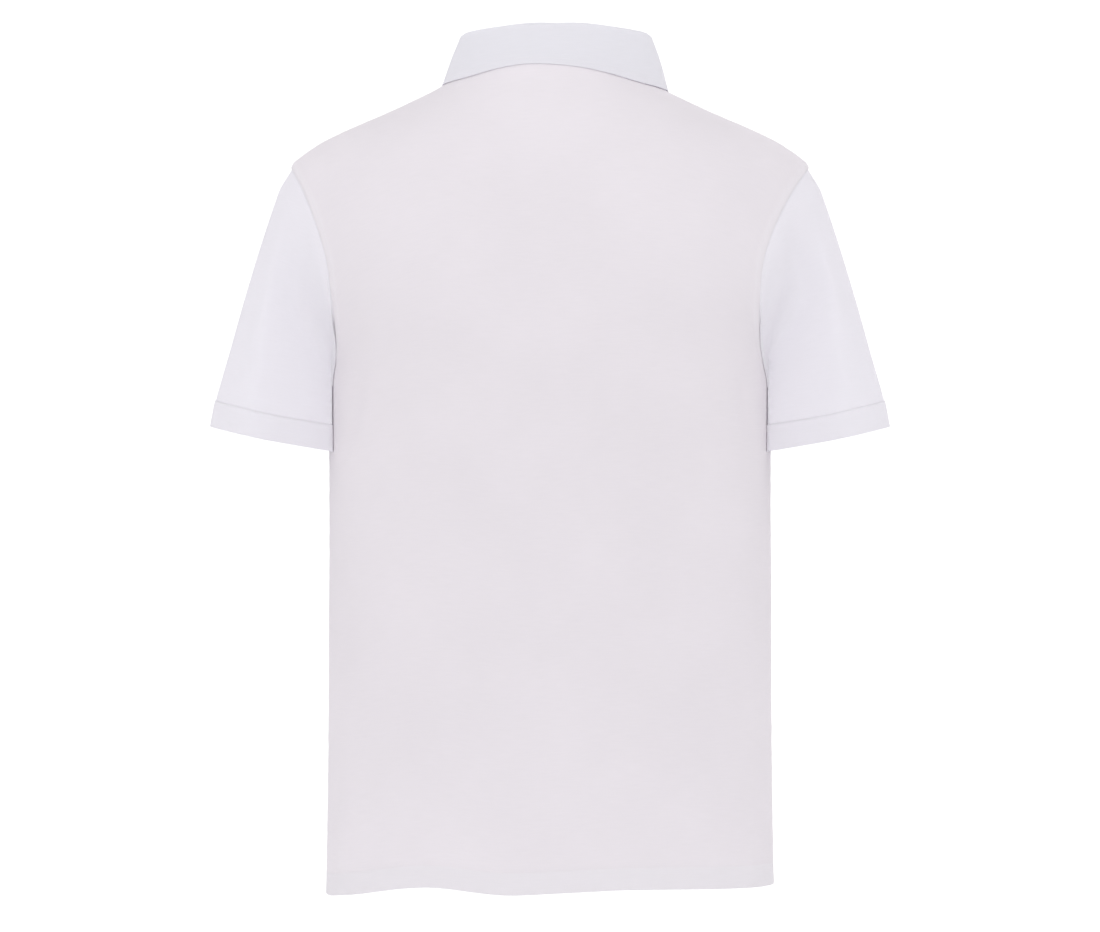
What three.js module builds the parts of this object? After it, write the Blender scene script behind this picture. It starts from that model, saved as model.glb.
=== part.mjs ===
// A short-sleeved poplin shirt, filled out as if it were worn, and hollow: back, two fronts, two sleeves,
// collar stand, collar leaf, button strip and buttons, each a closed wall of its own.
// Millimetres. +Z is up, the shirt faces -Y, and the wearer's left is +X.
// The origin lies midway between the shoulders, at the height where the collar meets the shoulder slope.
import * as THREE from 'three';

// ---- Driving dimensions ----
const CLOTH = 1.2; // wall of a panel
const COLLAR_CLOTH = 1.8; // wall of the stand and of the leaf, which are two layers and an interlining
const STRIP_CLOTH = 1.0; // wall of the button strip
const GAP = 0.3; // clear space between pieces that are sewn together
const HEM_Z = -720; // the hem's height, near enough to find the turns that its columns start from
const UNDERARM_Z = -261;
const SHOULDER_POINT_Z = -78;
const HEM_DEPTH = 20; // turned-up hem of the body
const SLEEVE_HEM_DEPTH = 24;
const HEM_EXTRA = 0.9; // what the turned-up layer adds to the inside of the wall
const HEM_STEP = 1.2; // height over which that layer's raw edge thins out
const STRIP_WIDTH = 34; // button strip, centred on the front
const LAP_STEP = { clear: 4, width: 30 }; // where the right front steps in, past the strip's edge
const NECK = { halfWidth: 83, back: 64, front: 72 }; // plan of the neck seam
// The neck and collar sit a little to the wearer's right of the middle, but for the centre front.
const NECK_SHIFT = { x: -5.4, fadesFrom: 100, fadesTo: 160 };
const STAND_TOP = { halfWidth: 83.2, back: 58, front: 67 }; // plan of the stand's upper edge
const STAND_START = 2.1; // height of the stand's lower edge above the neck seam
const STAND_LAP = { step: 1.35, from: 140, to: 166 }; // each end steps out or in, from turn to turn, to lap
const STAND_ROUNDING = 0.3; // share of its height that the stand loses at its rounded ends
const ROLL_RADIUS = 1.9; // of the fold between stand and leaf
const ROLL_SHARE = 0.2; // share of the leaf's rows that are the roll
const BUTTON = { radius: 5.6, thickness: 2.6, rim: 0.7, count: 6, first: 68, pitch: 93 };

// Horizontal sections of the body, from the neck down. Above the shoulder point halfWidth is the
// place of the shoulder ridge. back and front are depths, and square is 2 for an ellipse and more
// for a squarer ring.
const SECTIONS = [
  { z: 26, halfWidth: 66, back: 61, front: 8, square: 2 },
  { z: 5, halfWidth: 83, back: 71, front: 20, square: 2 },
  { z: -8.5, halfWidth: 104, back: 79, front: 34, square: 2 },
  { z: -16, halfWidth: 119, back: 84, front: 42, square: 2 },
  { z: -29, halfWidth: 147, back: 91, front: 52, square: 2 },
  { z: -45, halfWidth: 184, back: 98, front: 63, square: 2 },
  { z: -59, halfWidth: 211, back: 103, front: 71, square: 2 },
  { z: -78, halfWidth: 232, back: 109, front: 85, square: 2.05 },
  { z: -120, halfWidth: 235, back: 119, front: 107, square: 2.15 },
  { z: -178, halfWidth: 226, back: 126, front: 124, square: 2.25 },
  { z: -261, halfWidth: 198, back: 128, front: 131, square: 2.3 },
  { z: -400, halfWidth: 197.5, back: 124, front: 129, square: 2.3 },
  { z: -600, halfWidth: 198.5, back: 126, front: 124, square: 2.3 },
  { z: -760, halfWidth: 201, back: 132, front: 121, square: 2.3 },
];

// Height of the hem all round, by turn from the centre of the back through the wearer's left.
const HEM = [
  { turn: 0, z: -722.5 },
  { turn: 10, z: -724 },
  { turn: 31, z: -718 },
  { turn: 58, z: -727 },
  { turn: 78, z: -730 },
  { turn: 110, z: -728 },
  { turn: 145, z: -724 },
  { turn: 180, z: -726 },
  { turn: 215, z: -723 },
  { turn: 245, z: -727 },
  { turn: 270, z: -721 },
  { turn: 310, z: -720.5 },
  { turn: 338, z: -719.5 },
  { turn: 360, z: -722.5 },
];

// The armhole's reach into the back and the front, in degrees of turn from the side.
const SIDES = [
  { name: 'left', sign: 1, backReach: 33, frontReach: 40 },
  { name: 'right', sign: -1, backReach: 37, frontReach: 40 },
];

// Height of the stand's upper edge above the neck seam, by turn either way from the centre of the back.
const STAND_RISE = [
  { turn: 0, z: 26.5 },
  { turn: 32, z: 31 },
  { turn: 50, z: 33.3 },
  { turn: 66, z: 34.2 },
  { turn: 80, z: 32.6 },
  { turn: 92, z: 28.6 },
  { turn: 110, z: 26 },
  { turn: 150, z: 26 },
  { turn: 200, z: 27 },
];

// The sleeve's hem ring. Its inner half is a squarer ring that lies along the body's side.
const SLEEVE_HEM = { x: 254.3, y: -5, z: -321, halfWidth: 52.8, halfDepth: 64, rise: 10.8, droop: 1.4 };
// square would be 2 for an ellipse, clear is kept from the middle of the body's wall, and droop is how
// many times more the inner half sags.
const SLEEVE_INNER = { square: 7, clear: 2.6, droop: 1.4 };
// The sleeve's back and front slope to the body's sides, which they meet halfDepth from the sleeve's
// middle. They rise by so much for each millimetre outwards, from 1 / fade of its length down.
const SLEEVE_SLOPE = { halfDepth: 41, rise: 0.32, fade: 2.6 };
const SLEEVE_LEAN = 17.5; // how far the sleeve's length leans from upright, in degrees
const SLEEVE_LENGTH = 250; // from armhole to hem, near enough to place the hem's rows
const SLEEVE_STAND_OFF = 1.95; // what the sleeve's wall clears the body's by where it hangs beside it
const SLEEVE_SEAM_GAP = 0.45; // what it clears the body's edge by where it carries the shoulder on
// How far the sleeve bulges from the straight line between armhole and hem.
const SLEEVE_BULGE = [
  { along: 0, outer: 0, back: 0, front: 0 },
  { along: 0.1, outer: 5.4, back: 3.5, front: 4 },
  { along: 0.3, outer: 6.2, back: 7, front: 8 },
  { along: 0.5, outer: 5.6, back: 7, front: 7 },
  { along: 0.7, outer: 4, back: 4.5, front: 4.5 },
  { along: 0.9, outer: 2.6, back: 1.5, front: 1.5 },
  { along: 1, outer: 0, back: 0, front: 0 },
];

// The free edge of the collar leaf from the centre of the back to the collar point, on the wearer's left.
const LEAF_EDGE = [
  { turn: 0, x: 0, y: 71, z: 13 },
  { turn: 30, x: 48, y: 62, z: 9.6 },
  { turn: 60, x: 84.5, y: 37, z: 0 },
  { turn: 85, x: 100, y: 8, z: -5.6 },
  { turn: 110, x: 99.5, y: -22, z: -15.6 },
  { turn: 130, x: 90, y: -53, z: -36.2 },
  { turn: 150, x: 72, y: -78, z: -62 },
  { turn: 174, x: 51, y: -97, z: -90 },
];
const LEAF_BELLY = 1.2; // how far the leaf rounds out between roll and edge
const LEAF_CLEAR = 1; // extra space between the leaf and the shoulders it lies over
const LEAF_END = 174; // turn at which the leaf stops short of the centre front
const LEAF_TILT = 0.5; // share of the slope under the shifted neck that the leaf's edge follows

// Soft folds of the body: a ridge (depth above 0) or a trough along a line from one place to another.
const BODY_FOLDS = [
  { turn: 6, z: -745, turnEnd: 4, zEnd: -560, width: 34, depth: 4.5 },
  { turn: 33, z: -745, turnEnd: 30, zEnd: -600, width: 30, depth: -4 },
  { turn: 60, z: -745, turnEnd: 58, zEnd: -580, width: 28, depth: 3.5 },
  { turn: 326, z: -745, turnEnd: 330, zEnd: -600, width: 34, depth: -3 },
  { turn: 300, z: -745, turnEnd: 303, zEnd: -560, width: 30, depth: 3 },
  { turn: 128, z: -745, turnEnd: 130, zEnd: -520, width: 34, depth: 5 },
  { turn: 152, z: -745, turnEnd: 150, zEnd: -600, width: 28, depth: -3.5 },
  { turn: 232, z: -745, turnEnd: 230, zEnd: -540, width: 34, depth: 4.5 },
  { turn: 208, z: -745, turnEnd: 210, zEnd: -610, width: 28, depth: -3.5 },
  { turn: 52, z: -250, turnEnd: 66, zEnd: -360, width: 20, depth: -3 },
  { turn: 308, z: -250, turnEnd: 294, zEnd: -360, width: 20, depth: -3 },
  { turn: 136, z: -215, turnEnd: 118, zEnd: -330, width: 22, depth: -4 },
  { turn: 224, z: -215, turnEnd: 242, zEnd: -330, width: 22, depth: -4 },
];
const MM_PER_DEGREE = 3; // the body's girth over a full turn
const FOLD_FADE = { start: 3, end: 1.6 }; // how soon a fold deepens and fades, over its length

const SLEEVE_FOLD_FADE = { start: 4, end: 2 };

// Soft folds of the sleeves, by turn about the sleeve (0 outside, 90 back) and share of its length.
const SLEEVE_FOLDS = [
  { sign: -1, turn: 58, from: 0, to: 0.62, width: 14, depth: -4.5 },
  { sign: -1, turn: 88, from: 0.05, to: 1, width: 16, depth: 2.5 },
  { sign: 1, turn: 64, from: 0, to: 0.5, width: 14, depth: -2.5 },
  { sign: 1, turn: 96, from: 0.1, to: 1, width: 16, depth: 2.5 },
  { sign: 1, turn: 292, from: 0, to: 0.6, width: 16, depth: -4 },
  { sign: -1, turn: 292, from: 0, to: 0.6, width: 16, depth: -4 },
];

// ---- Grids: how finely each wall is divided ----
const ROWS_BELOW = 12; // from the hem up to the underarm
const ROWS_ABOVE = 16; // from the underarm up to the neck and shoulder
const HALF_COLUMNS = 13; // centre to side
const FRONT_COLUMNS = 15; // from the far edge of the lap to the side
const STRIP_COLUMNS = 4;
const SLEEVE_AROUND = 2 * ROWS_ABOVE; // one column for each row of the panels beside the armhole
const SLEEVE_ALONG = 11;
const SLEEVE_CROWDING = 1.15; // above 1 the rows crowd towards the armhole
const COLLAR_COLUMNS = 44;
const STAND_ROWS = 3;
const LEAF_ROWS = [0, 0.067, 0.133, ROLL_SHARE, 0.36, 0.55, 0.78, 1];
const NECK_SHARE = 0.4; // share of a panel's columns that run up to the neck, the rest to the shoulder seam

// ---- Small helpers ----
const rad = THREE.MathUtils.degToRad;
const deg = THREE.MathUtils.radToDeg;
const vec = (x, y, z) => new THREE.Vector3(x, y, z);
const clamp01 = (t) => THREE.MathUtils.clamp(t, 0, 1);
const soft = (t) => clamp01(t) ** 2 * (3 - 2 * clamp01(t));
const mix = (a, b, t) => a + (b - a) * t;
const bump = (distance) => Math.exp(-2 * distance * distance);
const apart = (turn, other) => ((((turn - other) % 360) + 540) % 360) - 180;

// Reads one named column of a table at a place between its rows, on a curve that never overshoots them.
function read(table, by, column, at) {
  const rows = table[0][by] < table.at(-1)[by] ? table : [...table].reverse();
  const last = rows.length - 2;
  let i = rows.findIndex((row) => row[by] > at) - 1;
  i = i === -2 ? last : Math.max(i, 0);
  const slope = (k) => (rows[k + 1][column] - rows[k][column]) / (rows[k + 1][by] - rows[k][by]);
  const tangent = (k) => {
    if (k === 0) return slope(0);
    if (k === rows.length - 1) return slope(last);
    const [a, b] = [slope(k - 1), slope(k)];
    return a * b <= 0 ? 0 : (2 * a * b) / (a + b);
  };
  const wide = rows[i + 1][by] - rows[i][by];
  const t = clamp01((at - rows[i][by]) / wide);
  const [p, q] = [rows[i][column], rows[i + 1][column]];
  const [m, n] = [tangent(i) * wide, tangent(i + 1) * wide];
  return p + t * m + t * t * (3 * (q - p) - 2 * m - n) + t ** 3 * (2 * (p - q) + m + n);
}

// ---- The body's surface ----
// A place on it is a turn (0 centre back, 90 the wearer's left side, 180 centre front) and a height.
function sectionAt(z) {
  const get = (column) => read(SECTIONS, 'z', column, z);
  return { halfWidth: get('halfWidth'), back: get('back'), front: get('front'), square: get('square') };
}

function plainPoint(turn, z) {
  const ring = sectionAt(z);
  const [s, c] = [Math.sin(rad(turn)), Math.cos(rad(turn))];
  const size = (Math.abs(s) ** ring.square + Math.abs(c) ** ring.square) ** (-1 / ring.square);
  return vec(ring.halfWidth * size * s, (c > 0 ? ring.back : ring.front) * size * c, z);
}

// The turn of the ring at height z in the direction of a point of the plan.
function turnOf(x, y, z) {
  const ring = sectionAt(z);
  const turn = deg(Math.atan2(x / ring.halfWidth, y / (y > 0 ? ring.back : ring.front)));
  return turn < -90 ? turn + 360 : turn;
}

// The place of the front or back surface straight before or behind a point of its width.
function facingAt(x, z, depth) {
  const ring = sectionAt(z);
  const level = 1 - Math.min(Math.abs(x) / ring.halfWidth, 1) ** ring.square;
  return vec(x, depth(ring) * level ** (1 / ring.square), z);
}

// The half width of the body at a depth.
function sideAt(y, z) {
  const ring = sectionAt(z);
  const level = 1 - (Math.abs(y) / (y > 0 ? ring.back : ring.front)) ** ring.square;
  return ring.halfWidth * level ** (1 / ring.square);
}

function frontAt(x, z) {
  const p = facingAt(x, z, (ring) => -ring.front);
  return { turn: turnOf(p.x, p.y, z), z };
}

function foldDepth(turn, z) {
  let depth = 0;
  for (const fold of BODY_FOLDS) {
    const [du, dz] = [(fold.turnEnd - fold.turn) * MM_PER_DEGREE, fold.zEnd - fold.z];
    const [u, v] = [apart(turn, fold.turn) * MM_PER_DEGREE, z - fold.z];
    const along = (u * du + v * dz) / (du * du + dz * dz);
    const across = Math.abs(u * dz - v * du) / Math.hypot(du, dz);
    const start = fold.z < HEM_Z ? 1 : soft(along * FOLD_FADE.start);
    depth += fold.depth * bump(across / fold.width) * start * soft((1 - along) * FOLD_FADE.end);
  }
  return depth;
}

function normalOf(surface, u, v, du, dv) {
  const along = surface(u + du, v).sub(surface(u - du, v));
  const up = surface(u, v + dv).sub(surface(u, v - dv));
  return along.cross(up).normalize();
}

// Outward normals: turn grows anticlockwise seen from below, so height cross turn points out.
const plainNormal = (turn, z) => normalOf(plainPoint, turn, z, 0.2, 0.2).negate();
const bodyPoint = (turn, z) => (
  plainPoint(turn, z).addScaledVector(plainNormal(turn, z), foldDepth(turn, z))
);
const bodyNormal = (turn, z) => normalOf(bodyPoint, turn, z, 0.4, 0.4).negate();

// The height at which the body's surface passes over a point of the plan.
function heightOver(x, y) {
  let [low, high] = [-150, 26];
  for (let i = 0; i < 40; i += 1) {
    const z = (low + high) / 2;
    const ring = sectionAt(z);
    const reach = (Math.abs(x) / ring.halfWidth) ** ring.square
      + (Math.abs(y) / (y > 0 ? ring.back : ring.front)) ** ring.square;
    if (reach > 1) high = z;
    else low = z;
  }
  return low;
}

// Moves a point outwards until it stands a distance clear of the body's surface.
function clearOfBody(p, distance) {
  const turn = turnOf(p.x, p.y, p.z);
  const normal = plainNormal(turn, p.z);
  const depth = p.clone().sub(plainPoint(turn, p.z)).dot(normal);
  return depth < distance ? p.addScaledVector(normal, distance - depth) : p;
}

// ---- Seam lines, as places of the surface ----
function shiftAt(turn) {
  const turned = Math.min(Math.abs(turn), 360 - Math.abs(turn));
  return NECK_SHIFT.x * soft((NECK_SHIFT.fadesTo - turned) / (NECK_SHIFT.fadesTo - NECK_SHIFT.fadesFrom));
}

function planOf(plan, turn) {
  const [s, c] = [Math.sin(rad(turn)), Math.cos(rad(turn))];
  return [shiftAt(turn) + plan.halfWidth * s, (c > 0 ? plan.back : plan.front) * c];
}

function neckPoint(turn) {
  const [x, y] = planOf(NECK, turn);
  return vec(x, y, heightOver(x, y));
}

// Armhole by turn about it: 0 at the shoulder point, 90 at the back, 180 at the underarm.
function armhole(side, around) {
  const [s, c] = [Math.sin(rad(around)), Math.cos(rad(around))];
  const reach = s > 0 ? side.backReach : side.frontReach;
  const z = mix(UNDERARM_Z, SHOULDER_POINT_Z, (1 + c) / 2);
  return { turn: 90 - reach * s, z };
}

const hemAt = (turn) => read(HEM, 'turn', 'z', ((turn % 360) + 360) % 360);

// A quarter of the body, from a line near the centre out to the side, as places of the surface.
// across runs 0 at that line to 1 at the side, and up runs 0 at the hem, 1 at the underarm, 2 at the top.
function quarter(side, facing, innerX) {
  const back = facing === 'back';
  const edgeY = (back ? 1 : -1) * GAP * 0.5; // half of the gap at the side and shoulder seams
  const at = (x, z) => facingAt(x, z, (ring) => (back ? ring.back : -ring.front));
  const sideTurn = (z) => turnOf(plainPoint(90, z).x, edgeY, z);
  const innerTurn = (z) => {
    const p = at(innerX, z);
    return turnOf(p.x, p.y, z);
  };
  const neck = (turn) => neckPoint(side.sign * turn).multiply(vec(side.sign, 1, 1));
  const innerNeckTurn = back ? 0 : 180 - deg(Math.asin(innerX / NECK.halfWidth));
  const innerTop = neck(innerNeckTurn);

  const bottom = (across) => {
    const turn = mix(innerTurn(UNDERARM_Z), sideTurn(UNDERARM_Z), across);
    return plainPoint(turn, UNDERARM_Z);
  };
  const inner = (up) => at(mix(innerX, innerTop.x, up), mix(UNDERARM_Z, innerTop.z, up));
  const edge = (up) => {
    const around = 180 * (1 - up);
    const place = armhole(side, back ? around : -around);
    return plainPoint(place.turn, place.z);
  };
  const top = (across) => {
    if (across < NECK_SHARE) {
      return neck(mix(innerNeckTurn, 90, across / NECK_SHARE));
    }
    const z = mix(neck(90).z, SHOULDER_POINT_Z, (across - NECK_SHARE) / (1 - NECK_SHARE));
    return vec(sectionAt(z).halfWidth, 0, z);
  };
  return (across, up) => {
    if (up <= 1) {
      const turn = (z) => mix(innerTurn(z), sideTurn(z), across);
      const hem = hemAt(side.sign * turn(HEM_Z));
      const z = mix(hem, UNDERARM_Z, up);
      return { turn: turn(z), z };
    }
    const t = up - 1;
    const p = vec(0, 0, 0)
      .addScaledVector(bottom(across), 1 - t)
      .addScaledVector(top(across), t)
      .addScaledVector(inner(t), 1 - across)
      .addScaledVector(edge(t), across)
      .addScaledVector(bottom(0), -(1 - across) * (1 - t))
      .addScaledVector(bottom(1), -across * (1 - t))
      .addScaledVector(top(0), -(1 - across) * t)
      .addScaledVector(top(1), -across * t);
    const y = back ? Math.max(p.y, edgeY) : Math.min(p.y, edgeY);
    return { turn: turnOf(p.x, y, p.z), z: p.z };
  };
}

// ---- Walls ----
// A closed wall over a grid of rows (i) and columns (j): point(i, j) gives its outer and inner points.
// Seen from outside, rows run upwards and columns run to the right.
function wall(rows, columns, point, closed = false) {
  const positions = [];
  const lanes = closed ? columns : columns + 1;
  for (let i = 0; i <= rows; i += 1) {
    for (let j = 0; j < lanes; j += 1) {
      const { outer, inner } = point(i, j);
      positions.push(...outer.toArray(), ...inner.toArray());
    }
  }
  const id = (i, j, face) => 2 * (i * lanes + (j % lanes)) + face;
  const index = [];
  const quad = (a, b, c, d) => index.push(a, b, c, a, c, d);
  for (let i = 0; i < rows; i += 1) {
    for (let j = 0; j < columns; j += 1) {
      quad(id(i, j, 0), id(i, j + 1, 0), id(i + 1, j + 1, 0), id(i + 1, j, 0));
      quad(id(i, j, 1), id(i + 1, j, 1), id(i + 1, j + 1, 1), id(i, j + 1, 1));
    }
  }
  for (let j = 0; j < columns; j += 1) {
    quad(id(0, j, 0), id(0, j, 1), id(0, j + 1, 1), id(0, j + 1, 0));
    quad(id(rows, j, 0), id(rows, j + 1, 0), id(rows, j + 1, 1), id(rows, j, 1));
  }
  if (!closed) {
    for (let i = 0; i < rows; i += 1) {
      quad(id(i, 0, 0), id(i + 1, 0, 0), id(i + 1, 0, 1), id(i, 0, 1));
      quad(id(i, columns, 0), id(i, columns, 1), id(i + 1, columns, 1), id(i + 1, columns, 0));
    }
  }
  const geometry = new THREE.BufferGeometry();
  geometry.setAttribute('position', new THREE.Float32BufferAttribute(positions, 3));
  geometry.setIndex(index);
  return geometry;
}

const facesOf = (p, normal, out, into) => ({
  outer: p.clone().addScaledVector(normal, out),
  inner: p.clone().addScaledVector(normal, -into),
});

// A place of the body's surface as a wall's two points, lifted off it by lift.
function bodyFaces(place, lift, thickness, extra = 0) {
  const normal = bodyNormal(place.turn, place.z);
  const p = bodyPoint(place.turn, place.z).addScaledVector(normal, lift);
  return facesOf(p, normal, thickness / 2, thickness / 2 + extra);
}

// Row heights of a panel: the hem's turned-up band ends between its first rows.
function panelRows() {
  const hemShare = HEM_DEPTH / (UNDERARM_Z - hemAt(0));
  const aboveHem = hemShare * (1 + HEM_STEP / HEM_DEPTH);
  const rows = [0, hemShare, aboveHem];
  for (let i = 1; i <= ROWS_BELOW; i += 1) rows.push(mix(aboveHem, 1, i / ROWS_BELOW));
  for (let i = 1; i <= ROWS_ABOVE; i += 1) rows.push(1 + i / ROWS_ABOVE);
  return rows;
}

const PANEL_ROWS = panelRows();
const hemExtra = (i) => (i < 2 ? HEM_EXTRA : 0);
const mirrored = (place) => ({ turn: -place.turn, z: place.z });

function backPanel() {
  const [left, right] = SIDES.map((side) => quarter(side, 'back', 0));
  return wall(PANEL_ROWS.length - 1, 2 * HALF_COLUMNS, (i, j) => {
    const across = j / HALF_COLUMNS - 1;
    const up = PANEL_ROWS[i];
    const place = across < 0 ? left(-across, up) : mirrored(right(across, up));
    return bodyFaces(place, 0, CLOTH, hemExtra(i));
  });
}

// The two fronts lap at the centre by the strip's width. The right one steps in there, under the left one.
function frontPanel(side) {
  const lap = STRIP_WIDTH / 2;
  const places = quarter(side, 'front', -lap);
  return wall(PANEL_ROWS.length - 1, FRONT_COLUMNS, (i, j) => {
    const step = CLOTH + 2 * GAP + hemExtra(i);
    const across = side.sign > 0 ? j / FRONT_COLUMNS : 1 - j / FRONT_COLUMNS;
    const place = places(across, PANEL_ROWS[i]);
    const past = plainPoint(place.turn, place.z).x - lap - LAP_STEP.clear;
    const lift = side.sign > 0 ? 0 : -step * soft(1 - past / LAP_STEP.width);
    return bodyFaces(side.sign > 0 ? place : mirrored(place), lift, CLOTH, hemExtra(i));
  });
}

function buttonStrip() {
  const lift = CLOTH / 2 + GAP + STRIP_CLOTH / 2;
  return wall(PANEL_ROWS.length - 1, STRIP_COLUMNS, (i, j) => {
    const x = mix(-STRIP_WIDTH / 2, STRIP_WIDTH / 2, j / STRIP_COLUMNS);
    const up = PANEL_ROWS[i];
    const top = neckPoint(180 - deg(Math.asin(x / NECK.halfWidth))).z;
    const z = up < 1 ? mix(hemAt(180 - x / MM_PER_DEGREE), UNDERARM_Z, up) : mix(UNDERARM_Z, top, up - 1);
    return bodyFaces(frontAt(x, z), lift, STRIP_CLOTH);
  });
}

// ---- Sleeves ----
function sleeve(side) {
  const outward = vec(Math.cos(rad(SLEEVE_LEAN)), 0, Math.sin(rad(SLEEVE_LEAN))); // square to its length
  const direction = (around) => outward
    .clone()
    .multiplyScalar(Math.cos(rad(around)))
    .setY(Math.sin(rad(around)));
  const hemPoint = (around) => {
    const [s, c] = [Math.sin(rad(around)), Math.cos(rad(around))];
    const square = c > 0 ? 2 : SLEEVE_INNER.square;
    const size = (Math.abs(s) ** square + Math.abs(c) ** square) ** (-1 / square);
    const droop = SLEEVE_HEM.droop * (1 + SLEEVE_INNER.droop * Math.max(-c, 0));
    const y = SLEEVE_HEM.y + SLEEVE_HEM.halfDepth * size * s;
    const z = SLEEVE_HEM.z + SLEEVE_HEM.rise * size * c - droop * (size * s) ** 2;
    const outer = Math.sqrt(SLEEVE_HEM.halfWidth ** 2 - SLEEVE_HEM.rise ** 2);
    const inner = SLEEVE_HEM.x - sideAt(y, z) - SLEEVE_INNER.clear;
    return vec(SLEEVE_HEM.x + (c > 0 ? outer : inner) * size * c, y, z);
  };
  const bulge = (around, along) => {
    const [s, c] = [Math.sin(rad(around)), Math.cos(rad(around))];
    const get = (column) => read(SLEEVE_BULGE, 'along', column, along);
    let out = (s > 0 ? get('back') : get('front')) * s * s + (c > 0 ? get('outer') * c * c : 0);
    for (const fold of SLEEVE_FOLDS.filter((f) => f.sign === side.sign)) {
      const share = (along - fold.from) / (fold.to - fold.from);
      const start = soft(share * SLEEVE_FOLD_FADE.start);
      const end = fold.to === 1 ? 1 : soft((1 - share) * SLEEVE_FOLD_FADE.end);
      out += fold.depth * bump(apart(around, fold.turn) / fold.width) * start * end;
    }
    return out;
  };
  const slope = (p, along) => {
    const behind = Math.sign(p.y - SLEEVE_HEM.y);
    const corner = sideAt(SLEEVE_HEM.y + behind * SLEEVE_SLOPE.halfDepth, p.z);
    const limit = SLEEVE_SLOPE.halfDepth + SLEEVE_SLOPE.rise * (p.x - corner);
    const excess = Math.max(Math.abs(p.y - SLEEVE_HEM.y) - limit, 0);
    return p.setY(p.y - behind * excess * soft(along * SLEEVE_SLOPE.fade));
  };
  const flip = vec(side.sign, 1, 1);
  const edge = (around) => {
    const place = armhole(side, around);
    return bodyPoint(side.sign * place.turn, place.z).multiply(flip);
  };
  const holeMiddle = plainPoint(90, mix(UNDERARM_Z, SHOULDER_POINT_Z, 0.5));
  // How the seam runs at a turn about the armhole: its place, the body's normal there, the way on into
  // the panel, and how far the sleeve hangs back beside the panel (1) or carries it on (0).
  const seam = (around) => {
    const place = armhole(side, around);
    const normal = bodyNormal(side.sign * place.turn, place.z).multiply(flip);
    const p = edge(around);
    const into = edge(around + 1).sub(edge(around - 1)).cross(normal).normalize();
    if (into.dot(p.clone().sub(holeMiddle)) < 0) into.negate();
    const beside = (1 + into.dot(hemPoint(around).sub(p).normalize())) / 2;
    return { p, normal, into, beside };
  };
  // It starts a gap beyond the armhole where it carries the shoulder on, and stands outside the body's
  // wall where it hangs beside it.
  const shape = (around, along) => {
    const { p, normal, into, beside } = seam(around);
    p.addScaledVector(normal, SLEEVE_STAND_OFF * beside)
      .addScaledVector(into, -SLEEVE_SEAM_GAP * (1 - beside))
      .lerp(hemPoint(around), along)
      .addScaledVector(direction(around), bulge(around, along));
    return clearOfBody(slope(p, along), mix(SLEEVE_STAND_OFF * beside, SLEEVE_INNER.clear, along));
  };

  const hemShare = 1 - SLEEVE_HEM_DEPTH / SLEEVE_LENGTH;
  const aboveHem = hemShare - HEM_STEP / SLEEVE_LENGTH;
  const stations = [];
  for (let i = 0; i <= SLEEVE_ALONG; i += 1) {
    stations.push(aboveHem * (i / SLEEVE_ALONG) ** SLEEVE_CROWDING);
  }
  stations.push(hemShare, 1);
  return wall(stations.length - 1, SLEEVE_AROUND, (i, j) => {
    const around = (side.sign * 360 * j) / SLEEVE_AROUND;
    const p = shape(around, stations[i]);
    const normal = normalOf(shape, around, stations[i], 0.5, 0.004);
    const extra = stations[i] >= hemShare ? HEM_EXTRA : 0;
    const faces = facesOf(p, normal, CLOTH / 2, CLOTH / 2 + extra);
    if (side.sign < 0) for (const point of Object.values(faces)) point.x *= -1;
    return faces;
  }, true);
}

// ---- Collar ----
// How far the stand's wall steps out (the wearer's left end) or in (the right end) to lap at the front.
function standStep(turn) {
  const share = (Math.abs(turn) - STAND_LAP.from) / (STAND_LAP.to - STAND_LAP.from);
  return Math.sign(turn) * STAND_LAP.step * soft(share);
}

function standPoint(turn, up) {
  const base = neckPoint(turn);
  const [x, y] = planOf(STAND_TOP, turn);
  const top = heightOver(base.x - shiftAt(turn), base.y) + read(STAND_RISE, 'turn', 'z', Math.abs(turn));
  const p = vec(mix(base.x, x, up), mix(base.y, y, up), mix(base.z + STAND_START, top, up));
  const outward = vec(base.x, base.y, 0).normalize();
  return p.addScaledVector(outward, standStep(turn));
}

const standNormal = (turn, up) => normalOf(standPoint, turn, up, 0.5, 0.02).negate();

function collarStand() {
  const lapTurn = deg(Math.asin(STRIP_WIDTH / 2 / NECK.halfWidth));
  const end = 180 + lapTurn;
  return wall(STAND_ROWS, COLLAR_COLUMNS, (i, j) => {
    const turn = mix(end, -end, j / COLLAR_COLUMNS);
    // The two ends are rounded at their upper corners.
    const toEnd = (Math.abs(turn) - 180) / lapTurn;
    const up = (i / STAND_ROWS) * (1 - STAND_ROUNDING * Math.max(toEnd, 0) ** 3);
    return facesOf(standPoint(turn, up), standNormal(turn, up), COLLAR_CLOTH / 2, COLLAR_CLOTH / 2);
  });
}

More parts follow.
